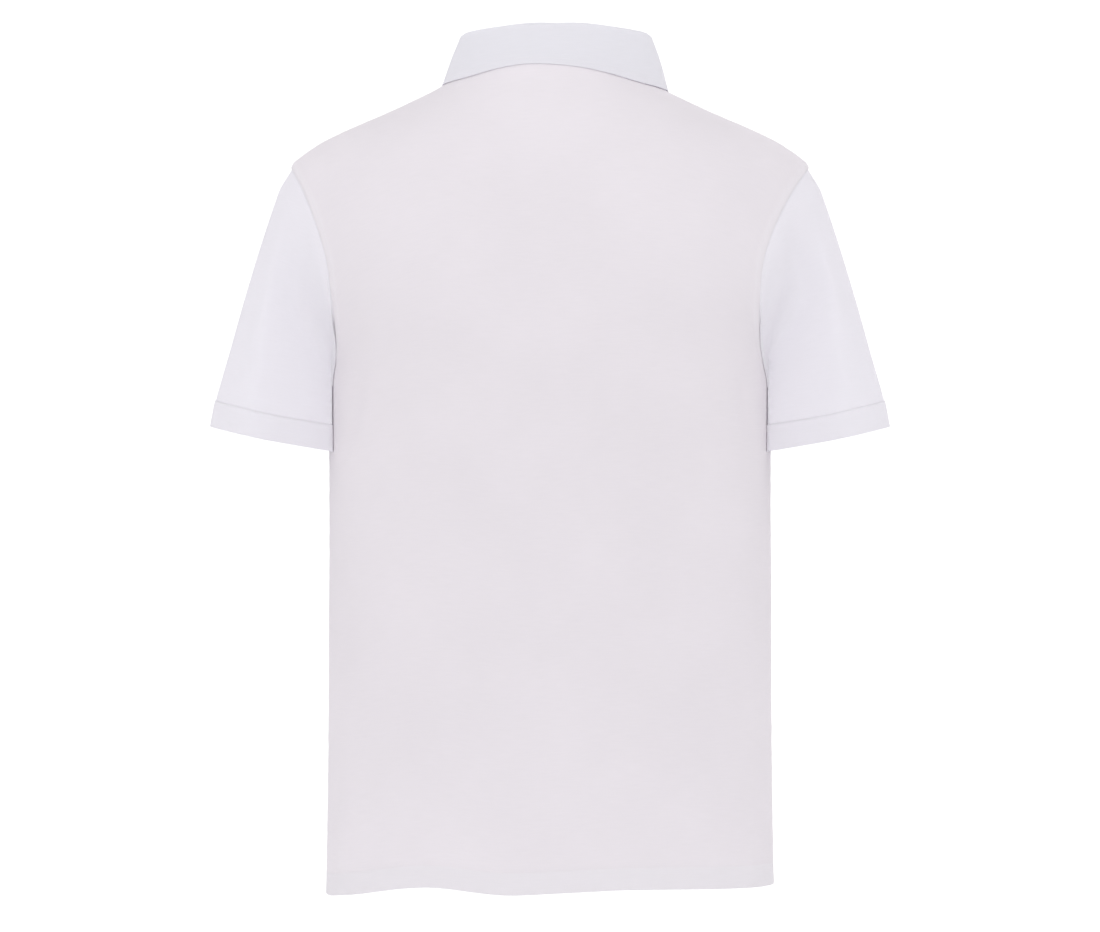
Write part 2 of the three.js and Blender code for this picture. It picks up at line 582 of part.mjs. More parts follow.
// The leaf rises from the stand, rolls over and falls to its free edge.
function leafPoint(turn, down) {
  const start = standPoint(turn, 1).add(vec(0, 0, 2 * GAP));
  const outward = vec(start.x, start.y, 0).normalize();
  if (down < ROLL_SHARE) {
    const roll = (Math.PI * down) / ROLL_SHARE;
    return start
      .addScaledVector(outward, ROLL_RADIUS * (1 - Math.cos(roll)))
      .add(vec(0, 0, ROLL_RADIUS * Math.sin(roll)));
  }
  const get = (column) => read(LEAF_EDGE, 'turn', column, Math.abs(turn));
  const [x, y] = [Math.sign(turn) * get('x'), get('y')];
  const shifted = x + shiftAt(turn);
  const tilt = LEAF_TILT * (heightOver(shifted, y) - heightOver(x, y));
  const edge = vec(shifted, y, get('z') + tilt);
  const fall = (down - ROLL_SHARE) / (1 - ROLL_SHARE);
  const p = start.addScaledVector(outward, 2 * ROLL_RADIUS).lerp(edge, fall);
  p.addScaledVector(outward, LEAF_BELLY * Math.sin(Math.PI * fall));
  return clearOfBody(p, CLOTH / 2 + GAP + COLLAR_CLOTH / 2 + LEAF_CLEAR);
}

function collarLeaf() {
  return wall(LEAF_ROWS.length - 1, COLLAR_COLUMNS, (i, j) => {
    const turn = mix(-LEAF_END, LEAF_END, j / COLLAR_COLUMNS);
    const normal = normalOf(leafPoint, turn, LEAF_ROWS[i], 0.5, 0.01);
    return facesOf(leafPoint(turn, LEAF_ROWS[i]), normal, COLLAR_CLOTH / 2, COLLAR_CLOTH / 2);
  });
}

// ---- Buttons ----
function buttonShape() {
  const { radius, thickness, rim } = BUTTON;
  const dish = thickness - rim;
  const profile = [
    [0, 0], [radius * 0.8, 0], [radius, thickness * 0.35], [radius, thickness * 0.7],
    [radius * 0.88, thickness], [radius * 0.7, thickness], [radius * 0.55, dish], [0, dish],
  ].map(([r, h]) => new THREE.Vector2(r, h));
  return new THREE.LatheGeometry(profile, 20);
}

function placeButton(mesh, p, normal) {
  mesh.position.copy(p);
  mesh.quaternion.setFromUnitVectors(vec(0, 1, 0), normal);
  return mesh;
}

// ---- The shirt ----
const finish = (name, color, roughness) => (
  new THREE.MeshStandardMaterial({ name, color, roughness, metalness: 0 })
);
const poplin = finish('poplin', 0xf1eef3, 0.85);
const interlined = finish('collar_poplin', 0xf2f0f5, 0.82);
const resin = finish('button_resin', 0xf4f3f0, 0.3);

const shirt = new THREE.Group();
const add = (name, geometry, material) => {
  const mesh = new THREE.Mesh(geometry, material);
  mesh.name = name;
  shirt.add(mesh);
  return mesh;
};

add('back', backPanel(), poplin);
for (const side of SIDES) {
  add(`front_${side.name}`, frontPanel(side), poplin);
  add(`sleeve_${side.name}`, sleeve(side), poplin);
}
add('button_strip', buttonStrip(), poplin);
add('collar_stand', collarStand(), interlined);
add('collar_leaf', collarLeaf(), interlined);

const stripFace = CLOTH / 2 + GAP + STRIP_CLOTH + GAP;
for (let i = 0; i < BUTTON.count; i += 1) {
  const z = neckPoint(180).z - BUTTON.first - i * BUTTON.pitch;
  const normal = bodyNormal(180, z);
  const base = bodyPoint(180, z).addScaledVector(normal, stripFace);
  placeButton(add(`button_${i + 1}`, buttonShape(), resin), base, normal);
}
const collarNormal = standNormal(180, 0.5);
const collarBase = standPoint(180, 0.5).addScaledVector(collarNormal, COLLAR_CLOTH / 2 + GAP);
placeButton(add('button_collar', buttonShape(), resin), collarBase, collarNormal);

export default shirt;
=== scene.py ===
"""A short-sleeved white poplin shirt, filled out as if it were worn, and seen from behind.

Each cloth piece lies on the surface of its CAD wall as one thin cloth, with turned hems, seams that
dip where two pieces meet, rows of stitches and soft creases. Lengths are in millimetres until a
mesh is made, and turns are in degrees: 0 is the centre of the back, 90 the wearer's left side.
"""

import math
from itertools import product
from types import SimpleNamespace as Named

import bmesh
import bpy
import numpy as np
from mathutils import Matrix, Vector, kdtree


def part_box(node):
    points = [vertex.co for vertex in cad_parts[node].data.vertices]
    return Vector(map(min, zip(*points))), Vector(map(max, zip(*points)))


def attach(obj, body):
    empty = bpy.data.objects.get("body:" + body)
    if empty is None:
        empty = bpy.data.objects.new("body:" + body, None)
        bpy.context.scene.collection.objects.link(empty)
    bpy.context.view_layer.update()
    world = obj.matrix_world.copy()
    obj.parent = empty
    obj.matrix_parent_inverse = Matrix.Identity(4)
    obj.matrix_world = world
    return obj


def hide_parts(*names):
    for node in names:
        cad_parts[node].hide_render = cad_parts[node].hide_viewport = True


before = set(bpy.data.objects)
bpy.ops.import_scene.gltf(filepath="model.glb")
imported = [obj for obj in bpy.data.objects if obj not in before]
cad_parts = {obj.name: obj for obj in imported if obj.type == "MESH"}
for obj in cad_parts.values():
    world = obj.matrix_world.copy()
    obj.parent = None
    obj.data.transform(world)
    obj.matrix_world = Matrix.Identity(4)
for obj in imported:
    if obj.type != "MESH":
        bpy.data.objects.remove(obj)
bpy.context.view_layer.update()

MM = 0.001


def listed(columns, *rows):
    """Each row of a table with its values by name."""
    return [Named(**dict(zip(columns.split(), row))) for row in rows]


def curves(columns, *rows):
    """A table's columns by name, to be read between its rows."""
    return dict(zip(columns.split(), np.array(sorted(rows), float).T))


# ---- Sizes shared with the CAD walls ----
WALL = 1.2  # panel wall, whose outer face the cloth lies on
GAP = 0.3  # between walls that lie on each other
HEM_Z = -720
UNDERARM_Z = -261
SHOULDER_POINT_Z = -78
SEARCHED = (-150, 26)  # the heights between which the body closes in towards the neck
HEM_DEPTH = 20
SLEEVE_HEM_DEPTH = 24
STRIP_WIDTH = 34
LAP_STEP = Named(clear=4, width=30)  # where the right front steps in, past the strip's edge
NECK = Named(half_width=83, back=64, front=72)
NECK_SHIFT = Named(x=-5.4, fades_from=100, fades_to=160)  # the neck's back is a little off centre
STAND_TOP = Named(half_width=83.2, back=58, front=67)
STAND_LAP = Named(step=1.35, start=140, end=166)  # where the ends step apart to lap in front
STAND_ROUNDING = 0.3  # share of its height by which its ends are rounded
ROLL_RADIUS = 1.9
ROLL_SHARE = 0.2  # share of the leaf's depth that is the roll over the stand
LEAF_BELLY = 1.2
LEAF_TILT = 0.5
LEAF_END = 174
LEAF_PULL = Named(at_points=0.4, fades_from=105, over=45)  # how far its edge is drawn in to rest
NECK_SHARE = 0.4  # share of a panel's width that runs up to the neck
MM_PER_DEGREE = 3
FOLD_FADE = Named(start=3, end=1.6)
SLEEVE_FOLD_FADE = Named(start=4, end=2)
SLEEVE_LEAN = 17.5
SLEEVE_STAND_OFF = 1.95
SLEEVE_SEAM_GAP = 0.45
SLEEVE_SEAM_FADE = 8  # from its own seam to where its hem and armhole show their full relief

# Horizontal sections of the body. back and front are depths, square is 2 for an ellipse.
SECTIONS = curves(
    "z half_width back front square",
    (26, 66, 61, 8, 2), (5, 83, 71, 20, 2), (-8.5, 104, 79, 34, 2), (-16, 119, 84, 42, 2),
    (-29, 147, 91, 52, 2), (-45, 184, 98, 63, 2), (-59, 211, 103, 71, 2), (-78, 232, 109, 85, 2.05),
    (-120, 235, 119, 107, 2.15), (-178, 226, 126, 124, 2.25), (-261, 198, 128, 131, 2.3),
    (-400, 197.5, 124, 129, 2.3), (-600, 198.5, 126, 124, 2.3), (-760, 201, 132, 121, 2.3),
)

# Height of the hem all round.
HEM = curves(
    "turn z",
    (0, -722.5), (10, -724), (31, -718), (58, -727), (78, -730), (110, -728), (145, -724),
    (180, -726), (215, -723), (245, -727), (270, -721), (310, -720.5), (338, -719.5), (360, -722.5),
)

# The armhole's reach from the side into the back and the front, in degrees.
SIDES = listed("name sign back_reach front_reach", ("left", 1, 33, 40), ("right", -1, 37, 40))

# Height of the stand over the shoulders and chest.
STAND_RISE = curves(
    "turn z",
    (0, 26.5), (32, 31), (50, 33.3), (66, 34.2), (80, 32.6), (92, 28.6), (110, 26), (150, 26), (200, 27),
)

SLEEVE_HEM = Named(x=254.3, y=-5, z=-321, half_width=52.8, half_depth=64, rise=10.8, droop=1.4)
# The sleeve's side by the body is square and droops more. It clings to the body up to 3 mm off it.
SLEEVE_INNER = Named(square=7, clear=1.5, droop=1.4, clings=3, hangs=9, fade=6)
# The half depth that the sleeve keeps at the body, and how fast it deepens away from the body.
SLEEVE_SLOPE = Named(half_depth=41, rise=0.32, fade=2.6, softened=7)
# How far the sleeve swells between its armhole and its hem.
SLEEVE_BULGE = curves(
    "along outer back front",
    (0, 0, 0, 0), (0.1, 5.4, 3.5, 4), (0.3, 6.2, 7, 8), (0.5, 5.6, 7, 7), (0.7, 4, 4.5, 4.5),
    (0.9, 2.6, 1.5, 1.5), (1, 0, 0, 0),
)

LEAF_EDGE = curves(
    "turn x y z",
    (0, 0, 71, 13), (30, 48, 62, 9.6), (60, 84.5, 37, 0), (85, 100, 8, -5.6), (110, 99.5, -22, -15.6),
    (130, 90, -53, -36.2), (150, 72, -78, -62), (174, 51, -97, -90),
)

# The largest folds, which the CAD walls have too: each along a line from one place to another.
BODY_FOLD = "turn z turn_end z_end width depth"
BODY_FOLDS = listed(
    BODY_FOLD,
    (6, -745, 4, -560, 34, 4.5), (33, -745, 30, -600, 30, -4), (60, -745, 58, -580, 28, 3.5),
    (326, -745, 330, -600, 34, -3), (300, -745, 303, -560, 30, 3), (128, -745, 130, -520, 34, 5),
    (152, -745, 150, -600, 28, -3.5), (232, -745, 230, -540, 34, 4.5), (208, -745, 210, -610, 28, -3.5),
    (52, -250, 66, -360, 20, -3), (308, -250, 294, -360, 20, -3), (136, -215, 118, -330, 22, -4),
    (224, -215, 242, -330, 22, -4),
)
SLEEVE_FOLD = "sign turn start end width depth"
SLEEVE_FOLDS = listed(
    SLEEVE_FOLD,
    (-1, 58, 0, 0.62, 14, -4.5), (-1, 88, 0.05, 1, 16, 2.5), (1, 64, 0, 0.5, 14, -2.5),
    (1, 96, 0.1, 1, 16, 2.5), (1, 292, 0, 0.6, 16, -4), (-1, 292, 0, 0.6, 16, -4),
)

# ---- Sizes of the cloth itself ----
CLOTH = 0.4  # thickness drawn for one layer of poplin
FACE = WALL / 2  # the cloth's outer face above the middle of the wall
HEM_LAYERS = 1.0  # from the outer face to the turned-up layer's face
HEM_RISE = Named(height=0.05, softness=3)
COLLAR_CLOTH = 1.1
COLLAR = dict(thickness=COLLAR_CLOTH, rounded=0.3)
LEAF_REST = 0.25  # space left between the leaf's edge and the cloth that it rests on
LEAF_FADE = 0.15  # share of the leaf's depth over which its relief begins, below the roll
STRIP_CLOTH = 0.5
STRIP_RISE = 1.0  # the strip's face above the front's face
STRIP_ROUNDING = 0.7  # how far its folded sides fall away
SEAM_DIP = Named(depth=0.4, width=2.2)
FELL_WIDTH = 8.2  # doubled cloth beside a seam
FELL_RISE = 0.35
FELL_SHOWS = 0.3  # of how much the doubled cloth of a hem shows
FELL_STITCH = 6.5  # from the seam to its second row of stitches
HEM_STITCH = 2  # from the hem's raw edge to its row of stitches
LEAF_STITCH = 5.5  # from the leaf's edge to its row of stitches
STRIP_STITCH = 5.5
STAND_STITCH_ROW = 2  # of the stand's mesh, along its foot
STITCH_DIP = Named(depth=0.03, width=1.1)
STITCH = Named(pitch=2.6, size=(2.0, 0.4, 0.18))  # every size of a stitch is length, width and height
# The puckers by a row of stitches, as their height, their length and how far they reach.
PUCKERS = dict(seam=(0.12, 3.1, 6), hem=(0.15, 3.4, 8), strip=(0.1, 3.2, 4), leaf=(0.07, 3.3, 3))
SLEEVE_TUCKS = [(0.35, -0.15), (-0.1, 0.1), (-0.8, 2.5)]  # (out from the body, in under the panel)

BODY_LENGTH = UNDERARM_Z - HEM_Z
ABOVE_LENGTH = 270  # from the underarm to the neck, over the cloth
BACK_WIDTH = 290  # from the back's middle to its side, over the cloth
FRONT_WIDTH = 300
CELL = 4  # size of the cloth's mesh squares, and of the finer ones beside a seam
FINE_CELL = 1.2
FINE_WIDTH = 13
# Where the other meshes' columns and rows lie, as (start, end, step), finer by seams and edges.
SLEEVE_COLUMNS = [(180, 186, 0.7), (186, 534, 2.2), (534, 540, 0.7)]
SLEEVE_ROWS = [(0, 0.93, 1 / 52), (0.93, 1, 1 / 160)]
LEAF_COLUMNS = [(-LEAF_END, -162, 1), (-162, 162, 2), (162, LEAF_END, 1)]
LEAF_ROWS = [(0, ROLL_SHARE, ROLL_SHARE / 9), (ROLL_SHARE, 0.88, 0.04), (0.88, 1, 0.015)]

BUTTON = Named(radius=5.6, thickness=2.6, rim=0.7, hole=0.8, hole_place=1.35, lift=0.5)
BUTTON_TURNS = dict(
    button_1=4, button_2=-7, button_3=2, button_4=11, button_5=-3, button_6=6, button_collar=12,
)
THREAD_BAR = Named(size=(3.2, 0.45, 0.5), pitch=0.36, lift=0.1)
BUTTONHOLE = Named(length=14, pitch=0.75, size=(1.2, 0.55, 0.4), aside=0.8, bar=(2.6, 0.55, 0.52))

# ---- Finishes ----
DRAWN_YARN = 0.9  # the poplin's yarns, really 0.2 mm apart, drawn coarser so that the weave can show
TRANSLUCENCY = 0.3
# Each finish as its cloth's colour, that of its shallow dips, where it is painted darker as painted shade,
# and that of doubled cloth.
COLOURS = dict(
    body=("F8F4F8", "F6F2F6", "FBF8FC"),
    # sleeve and collar: copies of the body's poplin with painted light, each set lighter or darker for how
    # bright that part looks in the studio light; the sleeve's is lighter and bluer
    sleeve=("FAF8FD", "F9F7FC", "FCFAFF"),
    collar=("F5F4F9", "F3F2F7", "F6F5FA"),
)

# ---- Studio, in metres ----
FLOOR = Named(z=-1.45, radius=2.6)
VIEW = Named(distance=6, width=0.99, height=-0.3456)  # width is what the view spans at the shirt
LIGHT = Named(level=1.22, above=0.7, below=0.6, beside=0.95)
LAMP = Named(power=4.4, size=1.6, distance=2.6, elevation=24, aim=(0, 0, -0.15))
LAMP_HEADINGS = dict(lamp_behind=10, lamp_before=200)

# Creases too slight for the CAD walls, in the same form as the body's folds.
CREASES = listed(
    BODY_FOLD,
    (14, -300, 8, -470, 22, -0.6), (345, -250, 352, -430, 24, -0.6), (40, -330, 22, -430, 18, -0.7),
    (318, -350, 336, -450, 17, -0.6), (334, -150, 331, -230, 7, 0.35), (70, -300, 40, -520, 26, 1.0),
    (290, -320, 316, -560, 28, 0.9), (75, -88, 60, -150, 9, -1.8), (283, -88, 297, -158, 10, -2.2),
    (100, -300, 128, -430, 20, -1.5), (260, -310, 234, -460, 22, -1.4), (94, -420, 100, -640, 24, 1.4),
    (267, -380, 262, -590, 26, 1.3), (140, -300, 160, -400, 16, -1.0), (220, -290, 202, -410, 16, -1.0),
    (150, -430, 128, -560, 20, 0.9), (212, -440, 232, -600, 22, 0.8), (130, -130, 142, -210, 16, -0.9),
    (228, -130, 219, -205, 16, -0.9),
)

# The same on the sleeves, in the form of the sleeves' folds.
SLEEVE_CREASES = listed(
    SLEEVE_FOLD,
    (-1, 118, 0.02, 0.75, 10, 1.2), (-1, 30, 0.35, 1, 14, -1.0), (-1, 332, 0.1, 0.8, 13, 1.3),
    (-1, 262, 0.3, 1, 12, -1.2), (1, 122, 0.05, 0.8, 10, 1.0), (1, 36, 0.3, 1, 15, -1.1),
    (1, 325, 0.05, 0.7, 12, 1.2), (1, 258, 0.25, 1, 13, -1.0),
)


# ---- Small helpers ----
def soft(t):
    t = np.clip(t, 0, 1)
    return t * t * (3 - 2 * t)


def mix(a, b, t):
    return a + (b - a) * t


def bump(distance):
    return np.exp(-2 * distance * distance)


def unit(v):
    return v / np.linalg.norm(v, axis=-1, keepdims=True)


def wander(run, size):
    """An uneven wave along a run, from about -1.5 to 1.5."""
    s = run / size
    return (np.sin(s) + 0.6 * np.sin(1.7 * s + 1.3) + 0.8 * np.sin(0.55 * s + 4)) / 1.6


def sine(turn):
    return np.sin(np.radians(turn))


def cosine(turn):
    return np.cos(np.radians(turn))


def spread(*values):
    """Values and arrays as arrays of one shape."""
    return np.broadcast_arrays(*[np.asarray(v, float) for v in values])


def points(x, y, z):
    return np.stack(spread(x, y, z), -1)


def apart(turn, other):
    """The signed turn from one direction to another, from -180 to 180."""
    return (turn - other + 540) % 360 - 180


def read(table, column, at):
    """A column of a table at places in its first, on a curve that never overshoots its rows."""
    places, values = next(iter(table.values())), table[column]
    slopes = np.diff(values) / np.diff(places)
    before, after = slopes[:-1], slopes[1:]
    level = before * after <= 0
    inner = np.where(level, 0, 2 * before * after / np.where(level, 1, before + after))
    tangents = np.concatenate([slopes[:1], inner, slopes[-1:]])
    i = np.clip(np.searchsorted(places, at, side="right") - 1, 0, len(slopes) - 1)
    wide = places[i + 1] - places[i]
    t = np.clip((at - places[i]) / wide, 0, 1)
    low, high = values[i], values[i + 1]
    m, n = tangents[i] * wide, tangents[i + 1] * wide
    return low + t * m + t * t * (3 * (high - low) - 2 * m - n) + t**3 * (2 * (low - high) + m + n)


def normal_of(surface, u, v, du, dv):
    """The normals of a surface of two measures, found from steps of each."""
    along = surface(u + du, v) - surface(u - du, v)
    up = surface(u, v + dv) - surface(u, v - dv)
    return unit(np.cross(along, up))


# ---- The body's surface: a turn and a height give a place on it ----
def section(z, is_back):
    """The body's half width, its depth to the back or the front, and its squareness."""
    half_width, back, front, square = [read(SECTIONS, column, z) for column in list(SECTIONS)[1:]]
    return half_width, np.where(is_back, back, front), square


def reach_of(s, c, square):
    """How far out a ring lies, of a width and depth of 1, on the way of a sine and cosine."""
    return (np.abs(s) ** square + np.abs(c) ** square) ** (-1 / square)


def plain_point(turn, z):
    turn, z = spread(turn, z)
    s, c = sine(turn), cosine(turn)
    half_width, depth, square = section(z, c > 0)
    reach = reach_of(s, c, square)
    return points(half_width * reach * s, depth * reach * c, z)


def turn_of(p):
    x, y, z = np.moveaxis(p, -1, 0)
    half_width, depth, _ = section(z, y > 0)
    turn = np.degrees(np.arctan2(x / half_width, y / depth))
    return np.where(turn < -90, turn + 360, turn)


def facing_point(x, z, is_back):
    x, z = spread(x, z)
    half_width, depth, square = section(z, is_back)
    level = 1 - np.minimum(np.abs(x) / half_width, 1) ** square
    return points(x, (depth if is_back else -depth) * level ** (1 / square), z)


def side_at(y, z):
    """The half width of the body at a depth."""
    half_width, depth, square = section(z, y > 0)
    return half_width * (1 - (np.abs(y) / depth) ** square) ** (1 / square)


def fold_depth(folds, turn, z):
    turn, z = spread(turn, z)
    depth = np.zeros_like(z)
    for fold in folds:
        du = (fold.turn_end - fold.turn) * MM_PER_DEGREE
        dz = fold.z_end - fold.z
        u, v = apart(turn, fold.turn) * MM_PER_DEGREE, z - fold.z
        along = (u * du + v * dz) / (du * du + dz * dz)
        across = np.abs(u * dz - v * du) / math.hypot(du, dz)
        start = 1 if fold.z < HEM_Z else soft(along * FOLD_FADE.start)
        end = soft((1 - along) * FOLD_FADE.end)
        depth += fold.depth * bump(across / fold.width) * start * end
    return depth


def plain_normal(turn, z):
    return -normal_of(plain_point, turn, z, 0.2, 0.2)


def body_point(turn, z):
    turn, z = spread(turn, z)
    depth = fold_depth(BODY_FOLDS, turn, z)
    return plain_point(turn, z) + plain_normal(turn, z) * depth[..., None]


def body_normal(turn, z):
    return -normal_of(body_point, turn, z, 0.4, 0.4)


def height_over(x, y):
    """The height at which the body's surface passes over a point of the plan."""
    x, y = spread(x, y)
    low, high = [np.full(x.shape, z, float) for z in SEARCHED]
    for _ in range(40):
        z = (low + high) / 2
        half_width, depth, square = section(z, y > 0)
        outside = (np.abs(x) / half_width) ** square + (np.abs(y) / depth) ** square > 1
        high = np.where(outside, z, high)
        low = np.where(outside, low, z)
    return low


def off_body(p):
    """How far points lie off the body's plain surface, and its normals there."""
    turn, z = turn_of(p), p[..., 2]
    normal = plain_normal(turn, z)
    return np.sum((p - plain_point(turn, z)) * normal, -1), normal


def clear_of_body(p, distance):
    """Moves points outwards until they stand a distance clear of the body's surface."""
    off, normal = off_body(p)
    return p + normal * np.maximum(distance - off, 0)[..., None]


# ---- Seam lines ----
def neck_shift(turn):
    turned = np.minimum(np.abs(turn), 360 - np.abs(turn))
    fade = NECK_SHIFT.fades_to - NECK_SHIFT.fades_from
    return NECK_SHIFT.x * soft((NECK_SHIFT.fades_to - turned) / fade)


def plan_of(plan, turn):
    s, c = sine(turn), cosine(turn)
    depth = np.where(c > 0, plan.back, plan.front)
    return neck_shift(turn) + plan.half_width * s, depth * c


def neck_point(turn):
    x, y = plan_of(NECK, turn)
    return points(x, y, height_over(x, y))


def armhole(side, around):
    """A place on the armhole, by turn about it: 0 at the shoulder, 90 at the back, 180 underarm."""
    s, c = sine(around), cosine(around)
    reach = np.where(s > 0, side.back_reach, side.front_reach)
    return 90 - reach * s, mix(UNDERARM_Z, SHOULDER_POINT_Z, (1 + c) / 2)


def hem_z(turn):
    return read(HEM, "z", np.asarray(turn, float) % 360)


def quarter(side, is_back, inner_x):
    """A quarter of the body as places on its surface. across runs from the line inner_x (0) to the
    side (1), and up from the hem (0) by the underarm (1) to the neck and shoulder seam (2)."""
    flip = np.array([side.sign, 1, 1])
    lean = math.degrees(math.asin(inner_x / NECK.half_width))
    neck_start = lean if is_back else 180 - lean

    def neck(turn):
        return neck_point(side.sign * turn) * flip

    def inner_turn(z):
        return turn_of(facing_point(inner_x, z, is_back))

    def bottom(across):
        return plain_point(mix(inner_turn(UNDERARM_Z), 90, across), UNDERARM_Z)

    def inner(t):
        end = neck(neck_start)
        return facing_point(mix(inner_x, end[0], t), mix(UNDERARM_Z, end[2], t), is_back)

    def edge(t):
        around = 180 * (1 - t)
        return plain_point(*armhole(side, around if is_back else -around))

    def top(across):
        by_neck = neck(mix(neck_start, 90, np.minimum(across / NECK_SHARE, 1)))
        share = np.clip((across - NECK_SHARE) / (1 - NECK_SHARE), 0, 1)
        z = mix(neck(90)[2], SHOULDER_POINT_Z, share)
        ridge = points(section(z, True)[0], 0, z)
        return np.where((across < NECK_SHARE)[..., None], by_neck, ridge)

    def place(across, up):
        across, up = spread(across, up)
        t = np.clip(up - 1, 0, 1)
        a, s = across[..., None], t[..., None]
        p = bottom(across) * (1 - s) + top(across) * s + inner(t) * (1 - a) + edge(t) * a
        none, full = np.zeros(1), np.ones(1)
        p -= (bottom(none) * (1 - a) + bottom(full) * a) * (1 - s)
        p -= (top(none) * (1 - a) + top(full) * a) * s
        y = np.maximum(p[..., 1], 0) if is_back else np.minimum(p[..., 1], 0)
        turn_above = turn_of(points(p[..., 0], y, p[..., 2]))
        hem = hem_z(side.sign * mix(inner_turn(HEM_Z), 90, across))
        z_below = mix(hem, UNDERARM_Z, up)
        turn_below = mix(inner_turn(z_below), 90, across)
        below = up <= 1
        return np.where(below, turn_below, turn_above), np.where(below, z_below, p[..., 2])

    return place


# ---- Grids and lines ----
def stations(*stretches):
    """Places from one stretch to the next, each given as (start, end, step)."""
    found = []
    for start, end, step in stretches:
        count = max(1, round(abs(end - start) / step))
        found.extend(np.linspace(start, end, count, endpoint=False))
    return np.array(found + [stretches[-1][1]])


def lengths_along(grid, axis):
    """How far along a grid of points each point is, along its rows (1) or columns (0)."""
    steps = np.linalg.norm(np.diff(grid, axis=axis), axis=-1)
    start = np.zeros_like(np.take(grid[..., 0], [0], axis=axis))
    return np.concatenate([start, np.cumsum(steps, axis=axis)], axis=axis)


def grid_normals(grid, outward):
    """Normals of a grid of points, each on the side of its outward vector."""
    normals = unit(np.cross(np.gradient(grid, axis=1), np.gradient(grid, axis=0)))
    return normals * np.sign(np.sum(normals * outward, -1))[..., None]


def resample(pitch, line, *others):
    """A line's points a pitch apart, and what goes with them from other lists."""
    run = np.concatenate([[0], np.cumsum(np.linalg.norm(np.diff(line, axis=0), axis=1))])
    at = np.arange(pitch / 2, run[-1], pitch)
    return [np.stack([np.interp(at, run, values[:, k]) for k in range(3)], -1) for values in (line, *others)]


def tree_of(line):
    tree = kdtree.KDTree(len(line))
    for i, p in enumerate(line):
        tree.insert(p, i)
    tree.balance()
    return tree


def distance_to(grid, line):
    """How far each point of a grid is from a line."""
    tree = tree_of(resample(0.5, line)[0])
    return np.array([tree.find(p)[2] for p in grid.reshape(-1, 3)]).reshape(grid.shape[:2])


def line_inside(cloth, line, distance, trim=0):
    """The line that lies a distance in from an edge of a cloth, on its face, and its normals."""
    flat, normals = cloth.grid.reshape(-1, 3), cloth.normal.reshape(-1, 3)
    tree = tree_of(flat)
    line = resample(2, line)[0]
    line = line[trim:len(line) - trim]
    facing = np.array([normals[tree.find(p)[1]] for p in line])
    aside = unit(np.cross(np.gradient(line, axis=0), facing)) * distance
    middle = len(line) // 2
    options = [line + aside, line - aside]
    inner = min(options, key=lambda option: tree.find(option[middle])[2])
    near = np.array([tree.find(p)[1] for p in inner])
    normal = normals[near]
    lift = np.sum((inner - flat[near]) * normal, -1)
    return inner - normal * lift[:, None], normal


# ---- Cloth meshes ----
def cloth_mesh(name, grid, outward, material, doubled=None, closed=False):
    """A sheet through a grid of points, facing outward. Its flat cut is its UV map, and its attribute
    doubled says where it has more than one layer."""
    rows, columns = grid.shape[:2]
    u, v = lengths_along(grid, 1), lengths_along(grid, 0)
    u -= u[:, columns // 2][:, None]
    bm = bmesh.new()
    bmesh.ops.create_grid(bm, x_segments=columns - 1, y_segments=rows - 1, size=0.5)
    cut = bm.loops.layers.uv.new("cut")
    layers = bm.verts.layers.float.new("doubled")
    for vert in bm.verts:
        i = round((vert.co.y + 0.5) * (rows - 1))
        j = round((vert.co.x + 0.5) * (columns - 1))
        for loop in vert.link_loops:
            loop[cut].uv = (u[i, j] * MM, v[i, j] * MM)
        vert[layers] = 1 if doubled is None else doubled[i, j]
        vert.co = grid[i, j] * MM
    bm.faces.ensure_lookup_table()
    middle = bm.faces[(rows // 2) * (columns - 1) + columns // 3]
    middle.normal_update()
    if middle.normal.dot(Vector(outward[rows // 2, columns // 3])) < 0:
        bmesh.ops.reverse_faces(bm, faces=bm.faces)
    if closed:
        bmesh.ops.remove_doubles(bm, verts=bm.verts, dist=1e-6)
    return finish_mesh(name, bm, material)


def add_object(name, data):
    added = bpy.data.objects.new(name, data)
    bpy.context.scene.collection.objects.link(added)
    return added


def finish_mesh(name, bm, material):
    for face in bm.faces:
        face.smooth = True
    mesh = bpy.data.meshes.new(name)
    bm.to_mesh(mesh)
    bm.free()
    mesh.materials.append(material)
    return add_object(name, mesh)


def thicken(piece, thickness):
    """Gives a sheet its thickness, inwards from its face."""
    modifier = piece.modifiers.new("thickness", "SOLIDIFY")
    modifier.thickness = thickness * MM
    modifier.offset = -1
    modifier.use_even_offset = False


def settle(piece, slot, *nodes):
    """Rides the piece on the shirt and hides the CAD nodes that it stands for. Its slot, the name of its
    finish, is not used.
    """
    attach(piece, "root")
    if nodes:
        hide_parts(*nodes)


def make_cloth(slot, name, grid, outward, material, face=slice(None), thickness=CLOTH, rounded=0,
               **options):
    """The cloth of a CAD node, with the rows that show as points and normals for its stitches."""
    piece = cloth_mesh(f"{name}_cloth", grid, outward, material, **options)
    thicken(piece, thickness)
    if rounded:
        bevel = piece.modifiers.new("rounded edge", "BEVEL")
        bevel.width = rounded * MM
        bevel.segments = 2
        bevel.angle_limit = math.radians(50)
    settle(piece, slot, name)
    return Named(name=name, piece=piece, grid=grid[face], normal=grid_normals(grid, outward)[face])


